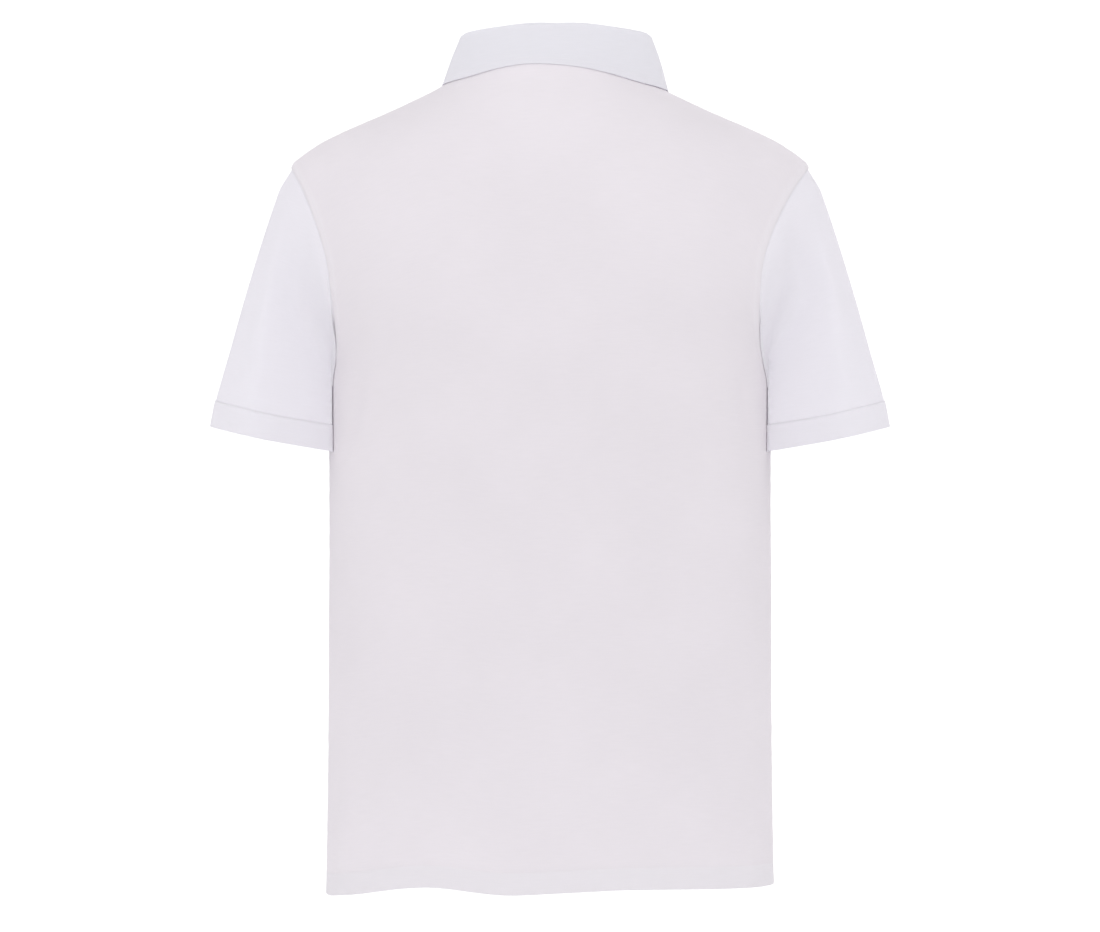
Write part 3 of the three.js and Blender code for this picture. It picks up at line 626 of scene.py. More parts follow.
# ---- Stitches ----
def add_stitches(bm, line, normal, pitch=STITCH.pitch, size=STITCH.size, across=False):
    """Stitches along a line, each a small swollen length of thread, which may lie across the line."""
    place, facing = resample(pitch, line, normal)
    if len(place) < 2:
        place, facing = (line[:1] + line[-1:]) / 2, normal[:1]
        ahead = unit(line[-1:] - line[:1])
    else:
        ahead = unit(np.gradient(place, axis=0))
    aside = unit(np.cross(facing, ahead))
    if across:
        ahead, aside = aside, -ahead
    for p, *axes in zip(place, ahead, aside, np.cross(ahead, aside)):
        matrix = Matrix.Identity(4)
        for k, axis in enumerate(axes):
            matrix.col[k][:3] = axis * (size[k] / 2 * MM)
        matrix.col[3][:3] = p * MM
        bmesh.ops.create_icosphere(bm, subdivisions=1, radius=1, matrix=matrix)


def make_stitches(cloth, runs, material):
    """Runs of stitches on a cloth as one piece, each run a line and its normals."""
    bm = bmesh.new()
    for line, normal in runs:
        add_stitches(bm, line, normal)
    piece = finish_mesh(f"{cloth.name}_stitches", bm, material)
    settle(piece, "poplin")
    return piece


# ---- Panels ----
def hem_rows(depth, layers):
    """A turned-up hem as (height above its fold, lift off the face), from the raw edge inside,
    round the fold and up the outside as far as the hem is deep."""
    radius = layers / 2
    inside = [(h, -layers) for h in stations((depth, radius, 2.5))[:-1]]
    turned = np.radians([-90, -50, -15, 15, 50, 90])
    roll = [(radius * (1 - math.cos(a)), radius * (math.sin(a) - 1)) for a in turned]
    up = stations((radius, depth - HEM_STITCH, 2), (depth - HEM_STITCH, depth, 1))
    return np.array(inside + roll + [(h, 0) for h in up[1:]])


def panel_rows():
    hem = hem_rows(HEM_DEPTH, HEM_LAYERS)
    straight = stations((HEM_DEPTH + 1, BODY_LENGTH, CELL)) / BODY_LENGTH
    fine = FINE_WIDTH / ABOVE_LENGTH
    above = stations((1, 2 - fine, CELL / ABOVE_LENGTH), (2 - fine, 2, FINE_CELL / ABOVE_LENGTH))
    up = np.concatenate([hem[:, 0] / BODY_LENGTH, straight, above[1:]])
    return up, np.pad(hem[:, 1], (0, len(up) - len(hem)))


ROW_UP, ROW_LIFT = panel_rows()
FOLD_ROW = int(np.argmin(ROW_UP))
OUTSIDE = slice(FOLD_ROW + 1, None)
HEM_STITCH_ROW = int(np.argmin(np.abs(ROW_UP * BODY_LENGTH - HEM_DEPTH + HEM_STITCH) + (ROW_LIFT < 0)))
UNDERARM_ROW = int(np.argmax(ROW_UP >= 1))


def side_columns(width):
    """Shares of a panel's width from its middle to its side, finer beside the seam."""
    fine = FINE_WIDTH / width
    return stations((0, 1 - fine, CELL / width), (1 - fine, 1, FINE_CELL / width))


def within(width, distance, softness=1.6):
    """1 within a width and 0 beyond it, across a soft edge."""
    return soft((width - distance) / softness + 0.5)


def puckers(place, distance, run):
    """The uneven waves that a row of stitches draws in the cloth beside it."""
    height, length, reach = PUCKERS[place]
    return height * wander(run, length) * bump(distance / reach)


def stitched(place, distance, run):
    """Lift beside a row of stitches: the dip that it lies in, and its puckers."""
    return puckers(place, distance, run) - STITCH_DIP.depth * bump(distance / STITCH_DIP.width)


def seam_relief(distance, run, felled):
    """Lift beside a seam: the dip where two pieces meet and the puckers, and where the seam is felled
    also the doubled cloth and its row of stitches."""
    dip = -SEAM_DIP.depth * np.clip(1 - distance / SEAM_DIP.width, 0, 1) ** 2
    if not felled:
        return dip + puckers("seam", distance - FELL_STITCH, run)
    return dip + stitched("seam", distance - FELL_STITCH, run) + FELL_RISE * within(FELL_WIDTH, distance)


def hem_relief(height, depth, run):
    """Lift over a turned-up hem, with its row of stitches and the puckers that they draw."""
    band = HEM_RISE.height * within(depth, height, HEM_RISE.softness)
    return band + stitched("hem", height - depth + HEM_STITCH, run)


def make_panel(name, turn, z, step, seams, material):
    """A panel over its places on the body. seams are (rows, columns, felled) of its sewn edges."""
    outward = body_normal(turn, z)
    lift = FACE + step + ROW_LIFT[:, None] + fold_depth(CREASES, turn, z)
    grid = body_point(turn, z) + outward * lift[..., None]
    u, v = lengths_along(grid, 1), lengths_along(grid, 0)
    height = v - v[FOLD_ROW]
    relief = hem_relief(height, HEM_DEPTH, u)
    doubled = within(HEM_DEPTH, height)
    for rows, columns, felled in seams:
        distance = distance_to(grid, grid[rows, columns])
        relief += seam_relief(distance, u if rows == -1 else v, felled)
        if felled:
            doubled = np.maximum(doubled, FELL_SHOWS * within(FELL_WIDTH, distance))
    relief[:FOLD_ROW] = 0
    grid = grid + outward * relief[..., None]
    return make_cloth("poplin", name, grid, outward, material, OUTSIDE, doubled=doubled)


def make_back(material):
    half = side_columns(BACK_WIDTH)
    across, up = np.broadcast_arrays(np.concatenate([-half[:0:-1], half]), ROW_UP[:, None])
    left_turn, left_z = quarter(SIDES[0], True, 0)(np.abs(across), up)
    right_turn, right_z = quarter(SIDES[1], True, 0)(np.abs(across), up)
    turn = np.where(across < 0, left_turn, -right_turn)
    z = np.where(across < 0, left_z, right_z)
    ends = np.flatnonzero(half >= NECK_SHARE)[0]
    middle = len(half) - 1
    seams = [
        (slice(FOLD_ROW, None), 0, True),
        (slice(FOLD_ROW, None), -1, True),
        (-1, slice(0, middle - ends + 1), False),
        (-1, slice(middle - ends, middle + ends + 1), False),
        (-1, slice(middle + ends, None), False),
    ]
    return make_panel("back", turn, z, 0, seams, material)


def make_front(side, material):
    columns = side_columns(FRONT_WIDTH)
    across, up = np.broadcast_arrays(columns, ROW_UP[:, None])
    turn, z = quarter(side, False, -STRIP_WIDTH / 2)(across, up)
    step = 0
    if side.sign < 0:  # the right front lies under the left
        past = plain_point(turn, z)[..., 0] - STRIP_WIDTH / 2 - LAP_STEP.clear
        under = WALL + 2 * GAP + HEM_LAYERS * (ROW_UP < HEM_DEPTH / BODY_LENGTH)[:, None]
        step = -under * soft(1 - past / LAP_STEP.width)
    ends = np.flatnonzero(columns >= NECK_SHARE)[0]
    seams = [
        (slice(FOLD_ROW, UNDERARM_ROW + 1), -1, False),
        (slice(UNDERARM_ROW, None), -1, True),
        (-1, slice(0, ends + 1), False),
        (-1, slice(ends, None), True),
    ]
    return make_panel(f"front_{side.name}", side.sign * turn, z, step, seams, material)


def make_strip(material):
    """The button strip, three layers thick, with rounded folds down both sides."""
    half = STRIP_WIDTH / 2
    to_stitch = half - STRIP_STITCH
    x = stations(
        (-half, -half + 1, 0.33), (-half + 1, -to_stitch, 1.5), (-to_stitch, to_stitch, 1.8),
        (to_stitch, half - 1, 1.5), (half - 1, half, 0.33),
    )[None, :]
    lean = np.degrees(np.arcsin(x / NECK.half_width))
    top = neck_point(180 - lean)[..., 2]
    hem = hem_z(180 - x / MM_PER_DEGREE)
    up = np.concatenate([[0], ROW_UP[FOLD_ROW + 3:]])[:, None]
    z = np.where(up < 1, mix(hem, UNDERARM_Z, up), mix(UNDERARM_Z, top, up - 1))
    turn = turn_of(facing_point(x, z, False))
    to_side = half - np.abs(x)
    rounding = STRIP_ROUNDING * (1 - np.sqrt(1 - (1 - np.clip(to_side, 0, 1)) ** 2))
    lift = FACE + STRIP_RISE - rounding + fold_depth(CREASES, turn, z)
    lift += stitched("strip", to_side - STRIP_STITCH, z)
    outward = body_normal(turn, z)
    grid = body_point(turn, z) + outward * lift[..., None]
    strip = make_cloth("poplin", "button_strip", grid, outward, material, thickness=STRIP_CLOTH)
    strip.stitched = np.flatnonzero(np.isclose(np.abs(x[0]), to_stitch))
    return strip


# ---- Sleeves ----
def make_sleeve(side, material):
    """A sleeve from its armhole (along 0) to its hem (1). around turns about it: 0 is outside, 90
    the back and 180 under the arm, where its own seam runs."""
    flip = np.array([side.sign, 1, 1])
    lean = math.radians(SLEEVE_LEAN)

    def direction(around):
        return points(math.cos(lean) * cosine(around), sine(around), math.sin(lean) * cosine(around))

    def hem_point(around):
        s, c = sine(around), cosine(around)
        size = reach_of(s, c, np.where(c > 0, 2, SLEEVE_INNER.square))
        droop = SLEEVE_HEM.droop * (1 + SLEEVE_INNER.droop * np.maximum(-c, 0))
        y = SLEEVE_HEM.y + SLEEVE_HEM.half_depth * size * s
        z = SLEEVE_HEM.z + SLEEVE_HEM.rise * size * c - droop * (size * s) ** 2
        outer = math.sqrt(SLEEVE_HEM.half_width ** 2 - SLEEVE_HEM.rise ** 2)
        inner = SLEEVE_HEM.x - side_at(y, z) - SLEEVE_INNER.clear
        return points(SLEEVE_HEM.x + np.where(c > 0, outer, inner) * size * c, y, z)

    def edge(around):
        turn, z = armhole(side, around)
        return body_point(side.sign * turn, z) * flip

    def seam(around):
        """The armhole's points, the body's normals there, the way on into the panel, and how far the
        sleeve hangs beside the panel (1) or carries it on (0)."""
        turn, z = armhole(side, around)
        normal = body_normal(side.sign * turn, z) * flip
        p = edge(around)
        into = unit(np.cross(edge(around + 1) - edge(around - 1), normal))
        middle = plain_point(90, (UNDERARM_Z + SHOULDER_POINT_Z) / 2)
        into = into * np.sign(np.sum(into * (p - middle), -1))[..., None]
        beside = (1 + np.sum(into * unit(hem_point(around) - p), -1)) / 2
        return p, normal, into, beside[..., None]

    def bulge(around, along):
        s, c = sine(around), cosine(around)
        depth = np.where(s > 0, *[read(SLEEVE_BULGE, k, along) for k in ("back", "front")])
        out = depth * s * s + np.where(c > 0, read(SLEEVE_BULGE, "outer", along), 0) * c * c
        for fold in SLEEVE_FOLDS + SLEEVE_CREASES:
            if fold.sign == side.sign:
                share = (along - fold.start) / (fold.end - fold.start)
                end = 1 if fold.end == 1 else soft((1 - share) * SLEEVE_FOLD_FADE.end)
                start = soft(share * SLEEVE_FOLD_FADE.start)
                out = out + fold.depth * bump(apart(around, fold.turn) / fold.width) * start * end
        return out

    def shape(around, along):
        around, along = spread(around, along)
        p, normal, into, beside = seam(around)
        p = p + normal * SLEEVE_STAND_OFF * beside - into * SLEEVE_SEAM_GAP * (1 - beside)
        p = mix(p, hem_point(around), along[..., None]) + direction(around) * bulge(around, along)[..., None]
        # Beside the body it is shallower, so that its back and front slope to the body's sides.
        behind = np.sign(p[..., 1] - SLEEVE_HEM.y)
        corner = side_at(SLEEVE_HEM.y + behind * SLEEVE_SLOPE.half_depth, p[..., 2])
        limit = SLEEVE_SLOPE.half_depth + SLEEVE_SLOPE.rise * (p[..., 0] - corner)
        excess = np.abs(p[..., 1] - SLEEVE_HEM.y) - limit
        excess = (excess + np.hypot(excess, SLEEVE_SLOPE.softened)) / 2
        p[..., 1] -= behind * excess * soft(along * SLEEVE_SLOPE.fade)
        # It stands clear of the body, and its inner side clings there.
        clear = mix(SLEEVE_STAND_OFF * beside[..., 0], SLEEVE_INNER.clear, along)
        p = clear_of_body(p, clear)
        off, normal = off_body(p)
        reach = SLEEVE_INNER.hangs - SLEEVE_INNER.clings
        cling = soft((SLEEVE_INNER.hangs - off) / reach) * soft(-2 * cosine(around))
        cling = cling * soft(along * SLEEVE_INNER.fade)
        return p - normal * (np.maximum(off - clear, 0) * cling)[..., None]

    around = stations(*SLEEVE_COLUMNS)
    length = np.linalg.norm(hem_point(around) - seam(around)[0], axis=-1)
    hem = hem_rows(SLEEVE_HEM_DEPTH, HEM_LAYERS)
    fold_row = int(np.argmin(hem[:, 0]))
    up = stations(*SLEEVE_ROWS)[:, None]
    above = (1 - (SLEEVE_HEM_DEPTH + 1) / length) * (1 - up)
    along = np.concatenate([1 - hem[:, :1] / length, above])
    lift = np.pad(hem[:, 1], (0, len(up)))[:, None]
    around = np.broadcast_to(around, along.shape)
    grid = shape(around, along)
    outward = normal_of(shape, around, along, 0.5, 0.004)
    u, v = lengths_along(grid, 1), lengths_along(grid, 0)
    height = v - v[fold_row]
    to_seam = np.minimum(u, u[:, -1:] - u)
    relief = hem_relief(height, SLEEVE_HEM_DEPTH, u) + seam_relief(v[-1:] - v, u, False)
    relief = relief * soft(to_seam / SLEEVE_SEAM_FADE) + seam_relief(to_seam, v, False)
    relief[:fold_row] = 0
    grid = grid + outward * (FACE + lift + relief)[..., None]
    # The cloth turns down into the armhole's seam and ends under the panel.
    p, normal, into, _ = seam(around[0])
    tucks = [p + normal * out + into * inward for out, inward in SLEEVE_TUCKS]
    grid = np.concatenate([grid, np.stack(tucks)])
    outward = np.concatenate([outward, np.stack([normal] * len(tucks))])
    grid[:, -1] = grid[:, 0]
    doubled = np.zeros(grid.shape[:2])
    doubled[:len(height)] = within(SLEEVE_HEM_DEPTH, height)
    face = slice(fold_row + 1, len(height))
    cloth = make_cloth(
        "poplin", f"sleeve_{side.name}", grid * flip, outward * flip, material, face, doubled=doubled,
        closed=True,
    )
    stitch_row = int(np.argmin(np.abs(hem[fold_row:, 0] - SLEEVE_HEM_DEPTH + HEM_STITCH))) - 1
    return cloth, stitch_row


# ---- Collar ----
def plan_outward(p):
    return unit(points(p[..., 0], p[..., 1], 0))


def stand_point(turn, up):
    turn, up = spread(turn, up)
    base = neck_point(turn)
    x, y = plan_of(STAND_TOP, turn)
    rise = read(STAND_RISE, "z", np.abs(turn))
    top = height_over(base[..., 0] - neck_shift(turn), base[..., 1]) + rise
    p = points(mix(base[..., 0], x, up), mix(base[..., 1], y, up), mix(base[..., 2], top, up))
    share = (np.abs(turn) - STAND_LAP.start) / (STAND_LAP.end - STAND_LAP.start)
    return p + plan_outward(base) * (np.sign(turn) * STAND_LAP.step * soft(share))[..., None]


def stand_normal(turn, up):
    return -normal_of(stand_point, turn, up, 0.5, 0.02)


def make_stand(material):
    lap = math.degrees(math.asin(STRIP_WIDTH / 2 / NECK.half_width))
    turn = np.linspace(180 + lap, -180 - lap, 171)[None, :]
    past = np.clip((np.abs(turn) - 180) / lap, 0, 1)
    up = np.linspace(0, 1, 11)[:, None] * (1 - STAND_ROUNDING * past**3)
    turn, up = np.broadcast_arrays(turn, up)
    outward = stand_normal(turn, up)
    grid = stand_point(turn, up) + outward * (COLLAR_CLOTH / 2)
    return make_cloth("collar_poplin", "collar_stand", grid, outward, material, **COLLAR)


def leaf_point(turn, down):
    """The collar leaf, which rises from the stand, rolls over and falls to its free edge."""
    turn, down = spread(turn, down)
    begin = stand_point(turn, 1) + [0, 0, 2 * GAP]
    outward = plan_outward(begin)
    roll = np.pi * np.clip(down / ROLL_SHARE, 0, 1)
    up = np.array([0, 0, ROLL_RADIUS])
    rolled = begin + outward * (ROLL_RADIUS * (1 - np.cos(roll)))[..., None] + np.sin(roll)[..., None] * up
    x, y, z = [read(LEAF_EDGE, k, np.abs(turn)) for k in "xyz"]
    x = np.sign(turn) * x
    shifted = x + neck_shift(turn)
    edge = points(shifted, y, z + LEAF_TILT * (height_over(shifted, y) - height_over(x, y)))
    fall = np.clip((down - ROLL_SHARE) / (1 - ROLL_SHARE), 0, 1)
    p = mix(rolled, edge, fall[..., None])
    p = p + outward * (LEAF_BELLY * np.sin(np.pi * fall))[..., None]
    # Its lower part is drawn in until its edge rests on the shoulders, and less so at its points.
    rest = FACE + LEAF_REST + COLLAR_CLOTH / 2
    off, normal = off_body(edge)
    at_points = soft((np.abs(turn) - LEAF_PULL.fades_from) / LEAF_PULL.over)
    pull = (off - rest) * fall**2 * mix(1, LEAF_PULL.at_points, at_points)
    falling = clear_of_body(p - normal * pull[..., None], rest)
    return np.where((down < ROLL_SHARE)[..., None], rolled, falling)


def make_leaf(material):
    turn, down = np.broadcast_arrays(stations(*LEAF_COLUMNS), stations(*LEAF_ROWS)[:, None])
    grid = leaf_point(turn, down)
    outward = normal_of(leaf_point, turn, down, 0.5, 0.01)
    fallen = int(np.argmax(down[:, 0] > ROLL_SHARE))
    relief = np.zeros(grid.shape[:2])
    for rows, columns in [(-1, slice(None)), (slice(fallen, None), 0), (slice(fallen, None), -1)]:
        distance = distance_to(grid, grid[rows, columns])
        run = lengths_along(grid, 1 if rows == -1 else 0)
        relief += stitched("leaf", distance - LEAF_STITCH, run)
    relief *= soft((down - ROLL_SHARE) / LEAF_FADE)
    grid = grid + outward * (COLLAR_CLOTH / 2 + relief)[..., None]
    face = slice(fallen, None)
    return make_cloth("collar_poplin", "collar_leaf", grid, outward, material, face, **COLLAR)


# ---- Stitching ----
def sew_body(cloth, hem, felled, material):
    """The stitches of a hem, and those beside felled seams."""
    runs = [(cloth.grid[hem], cloth.normal[hem])]
    runs += [line_inside(cloth, line, FELL_STITCH, trim=2) for line in felled]
    return make_stitches(cloth, runs, material)


def sew_strip(strip, material):
    """A row down each side of the strip."""
    runs = [(strip.grid[2:, column], strip.normal[2:, column]) for column in strip.stitched]
    return make_stitches(strip, runs, material)


def sew_stand(stand, material):
    """A row along the foot of the stand."""
    run = stand.grid[STAND_STITCH_ROW], stand.normal[STAND_STITCH_ROW]
    return make_stitches(stand, [run], material)


def sew_leaf(leaf, material):
    """A row inside the leaf's free edges."""
    edges = [leaf.grid[-1], leaf.grid[::-1, 0], leaf.grid[::-1, -1]]
    return make_stitches(leaf, [line_inside(leaf, edge, LEAF_STITCH, trim=3) for edge in edges], material)


# ---- Buttons ----
def button_mesh(material):
    """A four-hole shirt button on the origin, its foot down: turned, with a raised rim."""
    radius, thickness, rim = BUTTON.radius, BUTTON.thickness, BUTTON.rim
    dish = thickness - rim
    profile = [
        (0, 0), (0.72, 0), (0.86, 0.1), (0.95, 0.45), (1, 0.95), (0.985, 1.45), (0.94, 2.05), (0.87, 2.45),
        (0.8, thickness), (0.72, 2.5), (0.66, 2.2), (0.58, dish), (0.3, dish - 0.12), (0, dish - 0.15),
    ]
    bm = bmesh.new()
    verts = [bm.verts.new((share * radius * MM, 0, height * MM)) for share, height in profile]
    edges = [bm.edges.new(pair) for pair in zip(verts, verts[1:])]
    bmesh.ops.spin(
        bm, geom=verts + edges, cent=(0, 0, 0), axis=(0, 0, 1), angle=math.tau, steps=40, use_merge=True
    )
    bmesh.ops.remove_doubles(bm, verts=bm.verts, dist=1e-6)
    bmesh.ops.recalc_face_normals(bm, faces=bm.faces)
    blank = finish_mesh("button_blank", bm, material)
    bm = bmesh.new()
    for x, y in product((-BUTTON.hole_place, BUTTON.hole_place), repeat=2):
        place = Matrix.Translation((x * MM, y * MM, thickness * MM / 2))
        bmesh.ops.create_cone(
            bm, cap_ends=True, segments=14, radius1=BUTTON.hole * MM, radius2=BUTTON.hole * MM,
            depth=2 * thickness * MM, matrix=place,
        )
    drill = finish_mesh("button_drill", bm, material)
    holes = blank.modifiers.new("holes", "BOOLEAN")
    holes.object = drill
    holes.solver = "EXACT"
    drilled = blank.evaluated_get(bpy.context.evaluated_depsgraph_get())
    mesh = bpy.data.meshes.new_from_object(drilled)
    bpy.data.objects.remove(blank)
    bpy.data.objects.remove(drill)
    return mesh


def sew_button(name, mesh, base, normal, turned, threads):
    """Sets a button on its base, turned about its own axis, and sews it on with two bars of thread."""
    upright = Vector(normal).to_track_quat("Z", "Y").to_matrix().to_4x4()
    place = Matrix.Translation(Vector(base) * MM) @ upright @ Matrix.Rotation(math.radians(turned), 4, "Z")
    piece = add_object(f"{name}_turned", mesh.copy())
    piece.data.transform(place)
    settle(piece, "button_resin", name)
    dish = BUTTON.thickness - BUTTON.rim
    bar = Matrix.Diagonal([size / 2 * MM for size in THREAD_BAR.size] + [1])
    for row, strand in product((-1, 1), (-1, 0, 1)):
        y = row * BUTTON.hole_place + strand * THREAD_BAR.pitch
        local = Matrix.Translation((0, y * MM, (dish + THREAD_BAR.lift) * MM))
        bmesh.ops.create_icosphere(threads, subdivisions=2, radius=1, matrix=place @ local @ bar)


def work_buttonhole(threads, centre, ahead, normal):
    """A buttonhole's two rows of close stitches and the bars at its ends, beside its slit."""
    aside = np.cross(ahead, normal)
    ends = np.array([[-0.5], [0.5]])
    normals = np.stack([normal] * 2)
    for way in (-1, 1):
        line = centre + ends * BUTTONHOLE.length * ahead + aside * way * BUTTONHOLE.aside
        add_stitches(threads, line, normals, BUTTONHOLE.pitch, BUTTONHOLE.size, True)
        bar = centre + way * BUTTONHOLE.length / 2 * ahead + ends * BUTTONHOLE.bar[0] * aside
        add_stitches(threads, bar, normals, BUTTONHOLE.bar[0], BUTTONHOLE.bar)


def make_buttons(resin, thread):
    """Every button stands where its CAD node does, each turned a little differently."""
    mesh = button_mesh(resin)
    threads = bmesh.new()
    for name, turned in BUTTON_TURNS.items():
        if name == "button_collar":
            ahead, normal = np.array([1.0, 0, 0]), stand_normal(180, 0.5)
            face = stand_point(180, 0.5) + normal * (COLLAR_CLOTH / 2)
        else:
            low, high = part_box(name)
            z = (low[2] + high[2]) / 2 / MM
            ahead, normal = np.array([0, 0, 1.0]), body_normal(180, z)
            face = body_point(180, z) + normal * (FACE + STRIP_RISE)
        sew_button(name, mesh, face + normal * BUTTON.lift, normal, turned, threads)
        work_buttonhole(threads, face, ahead, normal)
    piece = finish_mesh("button_threads", threads, thread)
    settle(piece, "poplin")
    bpy.data.meshes.remove(mesh)
    return piece


# ---- Materials ----
def linear(hex_colour):
    """An sRGB hex colour as linear red, green, blue and alpha."""
    levels = [int(hex_colour[i:i + 2], 16) / 255 for i in (0, 2, 4)]
    return [v / 12.92 if v <= 0.04045 else ((v + 0.055) / 1.055) ** 2.4 for v in levels] + [1]


def node(tree, kind, inputs=None, **settings):
    """Adds a node with its settings, and its sockets' values or the sockets that feed them."""
    made = tree.nodes.new("ShaderNode" + kind)
    for name, value in settings.items():
        setattr(made, name, value)
    for socket, value in (inputs or {}).items():
        if isinstance(value, bpy.types.NodeSocket):
            tree.links.new(value, made.inputs[socket])
        else:
            made.inputs[socket].default_value = value
    return made


def start_material(name):
    material = bpy.data.materials.new(name)
    material.use_nodes = True
    material.node_tree.nodes.clear()
    return material, material.node_tree


def blend(tree, factor, one, other):
    """A colour between two, each a hex value or a socket."""
    values = [linear(c) if isinstance(c, str) else c for c in (one, other)]
    return node(tree, "Mix", {0: factor, 6: values[0], 7: values[1]}, data_type="RGBA").outputs[2]


def start_clouded(name, one, other, cloud):
    """Starts a material with a noise through its space, and the colour that drifts with it."""
    material, tree = start_material(name)
    place = node(tree, "TexCoord").outputs["Object"]
    drift = node(tree, "TexNoise", {"Vector": place, **cloud}).outputs["Fac"]
    return material, tree, drift, blend(tree, drift, one, other)


def finish_material(material, shader):
    node(material.node_tree, "OutputMaterial", {0: shader.outputs[0]})
    return material


def let_light_through(tree, colour, shader):
    """Thin cloth glows faintly with the light behind it."""
    glow = node(tree, "BsdfTranslucent", {"Color": colour})
    return node(tree, "MixShader", {0: TRANSLUCENCY, 1: shader.outputs[0], 2: glow.outputs[0]})


def poplin_material(name, colour, shadow, doubled, roughness=0.74):
    """Cotton poplin, woven plain from fine combed yarn and pressed: matte white, with a faint
    crosswise rib, thicker yarns here and there, and a soft unevenness where it isn't quite flat, whose dips
    carry painted shade."""
    material, tree = start_material(name)
    cut = node(tree, "UVMap", uv_map="cut").outputs["UV"]
    wave = 0.3142 / (DRAWN_YARN * MM)  # the scale at which bands repeat every yarn
    bands = {}
    for i, way in enumerate("XY"):
        yarns = node(tree, "TexWave", {"Vector": cut, "Scale": wave}, bands_direction=way)
        bands[i] = node(tree, "Math", {0: yarns.outputs["Fac"], 1: 0.5}, operation="SUBTRACT").outputs[0]
    weave = node(tree, "Math", bands, operation="MULTIPLY")
    crosswise = node(tree, "Mapping", {"Vector": cut, "Scale": (60, 900, 1)})
    slub = node(tree, "TexNoise", {"Vector": crosswise.outputs[0], "Scale": 1, "Detail": 3})
    crinkle = node(tree, "TexNoise", {"Vector": cut, "Scale": 34, "Detail": 3, "Roughness": 0.5})
    pressed = node(tree, "TexNoise", {"Vector": cut, "Scale": 9, "Detail": 2})
    # painted shade: where the pressed unevenness dips, the colour turns to the darker shadow colour
    painted_dip_shade = node(tree, "MapRange", {0: pressed.outputs["Fac"], 1: 0.35, 2: 0.65})
    yarn = node(tree, "MapRange", {0: slub.outputs["Fac"], 1: 0.3, 2: 0.7})
    layers = node(tree, "Attribute", attribute_name="doubled")
    base = blend(tree, painted_dip_shade.outputs[0], shadow, colour)
    base = blend(tree, layers.outputs["Fac"], base, doubled)
    darker = node(
        tree, "Mix", {0: 0.02, 6: base, 7: yarn.outputs[0]}, data_type="RGBA", blend_type="MULTIPLY"
    )
    height = node(tree, "Math", {0: slub.outputs["Fac"], 1: 0.35}, operation="MULTIPLY")
    threads = node(
        tree, "Math", {0: weave.outputs[0], 1: 1.2, 2: height.outputs[0]}, operation="MULTIPLY_ADD"
    )
    relief = {}
    for height, strength, distance in [
        (threads.outputs[0], 0.35, 0.0001), (crinkle.outputs["Fac"], 0.25, 0.0006),
        (pressed.outputs["Fac"], 0.3, 0.002),
    ]:
        uneven = node(tree, "Bump", {"Height": height, "Strength": strength, "Distance": distance, **relief})
        relief = {"Normal": uneven.outputs[0]}
    shader = node(tree, "BsdfPrincipled", {
        "Base Color": darker.outputs[2], "Roughness": roughness, "IOR": 1.46, "Sheen Weight": 0.12,
        "Sheen Roughness": 0.5, **relief,
    })
    return finish_material(material, let_light_through(tree, darker.outputs[2], shader))


def thread_material():
    """Mercerised cotton sewing thread, spun from three strands: a little smoother than the cloth."""
    twist = {"Scale": 2600, "Detail": 1}
    material, tree, _, colour = start_clouded("sewing_thread", "F7F4F9", "FCFAFD", twist)
    shader = node(tree, "BsdfPrincipled", {"Base Color": colour, "Roughness": 0.5, "Sheen Weight": 0.2})
    return finish_material(material, shader)


def resin_material():
    """Cast polyester button resin, turned and tumbled: glossy, with faint clouds of mother-of-pearl."""
    cloud = {"Scale": 300, "Detail": 4, "Distortion": 1.5}
    material, tree, drift, colour = start_clouded("button_resin", "CFCBCB", "EDEAE8", cloud)
    gloss = node(tree, "MapRange", {0: drift, 3: 0.2, 4: 0.32})
    shader = node(tree, "BsdfPrincipled", {
        "Base Color": colour, "Roughness": gloss.outputs[0], "IOR": 1.55, "Coat Weight": 0.2,
    })
    return finish_material(material, shader)


def floor_material():
    """A painted studio floor: matt and pale, very slightly uneven."""
    grain = {"Scale": 3, "Detail": 4}
    material, tree, _, colour = start_clouded("pale_floor", "E0E0E1", "E6E6E7", grain)
    shader = node(tree, "BsdfPrincipled", {"Base Color": colour, "Roughness": 0.7})
    return finish_material(material, shader)


# ---- Stage, light and camera ----
def make_stage():
    bm = bmesh.new()
    bmesh.ops.create_circle(bm, cap_ends=True, segments=96, radius=FLOOR.radius)
    bmesh.ops.translate(bm, verts=bm.verts, vec=(0, 0, FLOOR.z))
    finish_mesh("floor", bm, floor_material())


def make_world():
    """Even white light from before and behind, a little weaker from above, below and the sides."""
    world = bpy.data.worlds.new("studio")
    world.use_nodes = True
    tree = world.node_tree
    tree.nodes.clear()
    way = node(tree, "SeparateXYZ", {0: node(tree, "TexCoord").outputs["Generated"]})
    above = node(tree, "MapRange", {0: way.outputs[2], 1: 0.15, 2: 0.9, 3: 1, 4: LIGHT.above})
    below = node(tree, "MapRange", {0: way.outputs[2], 1: -0.9, 2: -0.15, 3: LIGHT.below, 4: 1})
    aside = node(tree, "Math", {0: way.outputs[0]}, operation="ABSOLUTE")
    beside = node(tree, "MapRange", {0: aside.outputs[0], 1: 0.2, 2: 0.9, 3: 1, 4: LIGHT.beside})
    level = above.outputs[0]
    for share in (below.outputs[0], beside.outputs[0], LIGHT.level):
        level = node(tree, "Math", {0: level, 1: share}, operation="MULTIPLY").outputs[0]
    light = node(tree, "Background", {"Color": (1, 1, 1, 1), "Strength": level})
    node(tree, "OutputWorld", {0: light.outputs[0]})
    bpy.context.scene.world = world


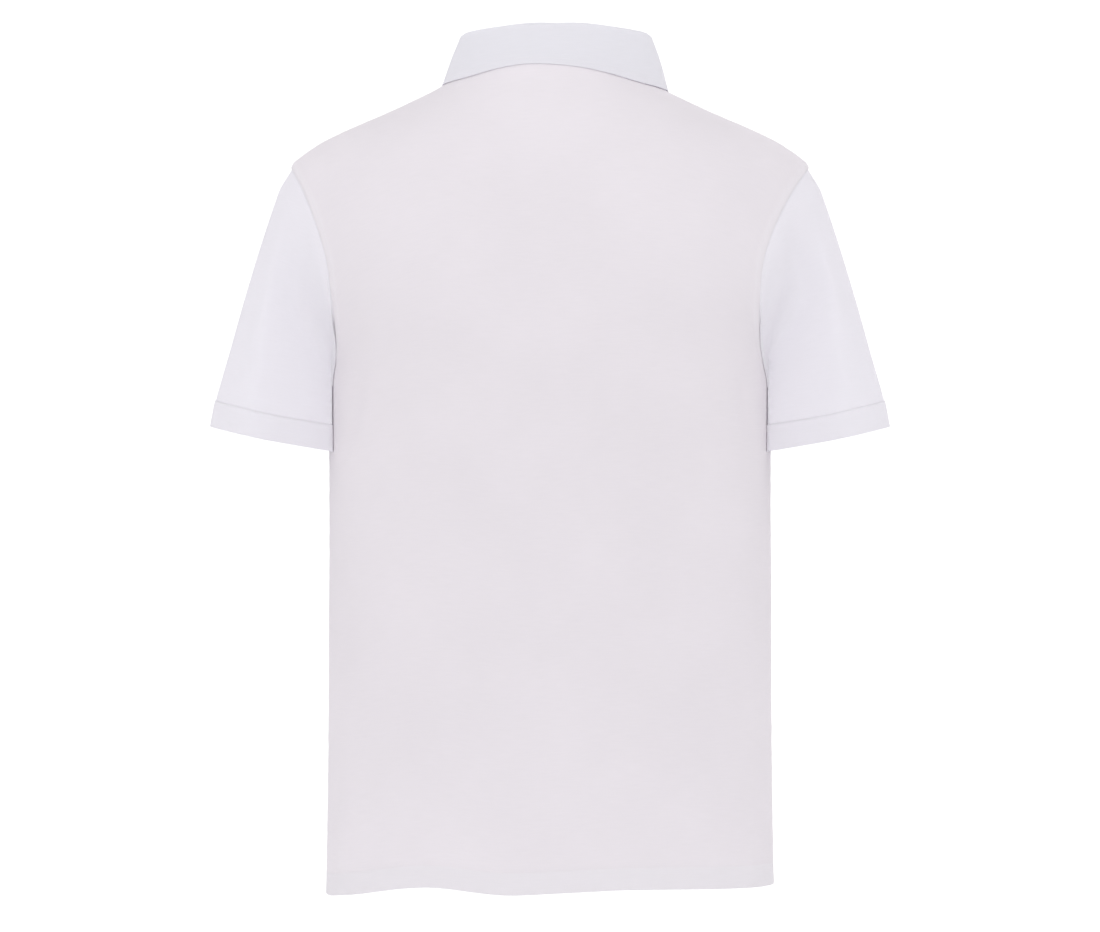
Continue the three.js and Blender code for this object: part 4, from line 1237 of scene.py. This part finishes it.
def make_lamp(name, heading):
    """A broad softbox that shines from a heading (0 is behind the back, 90 the wearer's left)."""
    lamp = bpy.data.lights.new(name, "AREA")
    lamp.energy = LAMP.power
    lamp.size = LAMP.size
    holder = add_object(name, lamp)
    turn, rise = math.radians(heading), math.radians(LAMP.elevation)
    way = Vector((math.sin(turn) * math.cos(rise), math.cos(turn) * math.cos(rise), math.sin(rise)))
    holder.location = Vector(LAMP.aim) + way * LAMP.distance
    holder.rotation_euler = way.to_track_quat("Z", "Y").to_euler()
    holder.visible_camera = False


def make_camera():
    camera = bpy.data.cameras.new("camera")
    camera.sensor_fit = "HORIZONTAL"
    camera.sensor_width = 36
    camera.lens = camera.sensor_width * VIEW.distance / VIEW.width
    camera.clip_end = 60
    holder = add_object("camera", camera)
    holder.location = (0, VIEW.distance, VIEW.height)
    holder.rotation_euler = (math.radians(90), 0, math.radians(180))
    bpy.context.scene.camera = holder


make_camera()
make_world()
for name, heading in LAMP_HEADINGS.items():
    make_lamp(name, heading)
make_stage()
bpy.context.scene.view_settings.view_transform = "Standard"

body_poplin = poplin_material("poplin", *COLOURS["body"])
# the sleeves' and the collar's poplin are copies of the body's with painted light, set lighter or darker
# than it
sleeve_poplin = poplin_material("sleeve_poplin", *COLOURS["sleeve"])
collar_poplin = poplin_material("collar_poplin", *COLOURS["collar"], roughness=0.7)
thread = thread_material()
resin = resin_material()

HEM_LINE = HEM_STITCH_ROW - FOLD_ROW - 1
ABOVE_HEM = slice(HEM_LINE + 3, UNDERARM_ROW - FOLD_ROW)
ARMHOLE = slice(UNDERARM_ROW - FOLD_ROW, None)

back = make_back(body_poplin)
felled = [back.grid[rows, column] for rows in (ABOVE_HEM, ARMHOLE) for column in (0, -1)]
back_stitches = sew_body(back, HEM_LINE, felled, thread)

for side in SIDES:
    front = make_front(side, body_poplin)
    shoulder = front.grid[-1, side_columns(FRONT_WIDTH) >= NECK_SHARE]
    felled = [front.grid[ARMHOLE, -1], shoulder]
    stitches = sew_body(front, HEM_LINE, felled, thread)
    sleeve, hem = make_sleeve(side, sleeve_poplin)
    stitches = sew_body(sleeve, hem, [], thread)

strip = make_strip(body_poplin)
strip_stitches = sew_strip(strip, thread)
threads = make_buttons(resin, thread)
stand = make_stand(collar_poplin)
stand_stitches = sew_stand(stand, thread)
leaf = make_leaf(collar_poplin)
leaf_stitches = sew_leaf(leaf, thread)
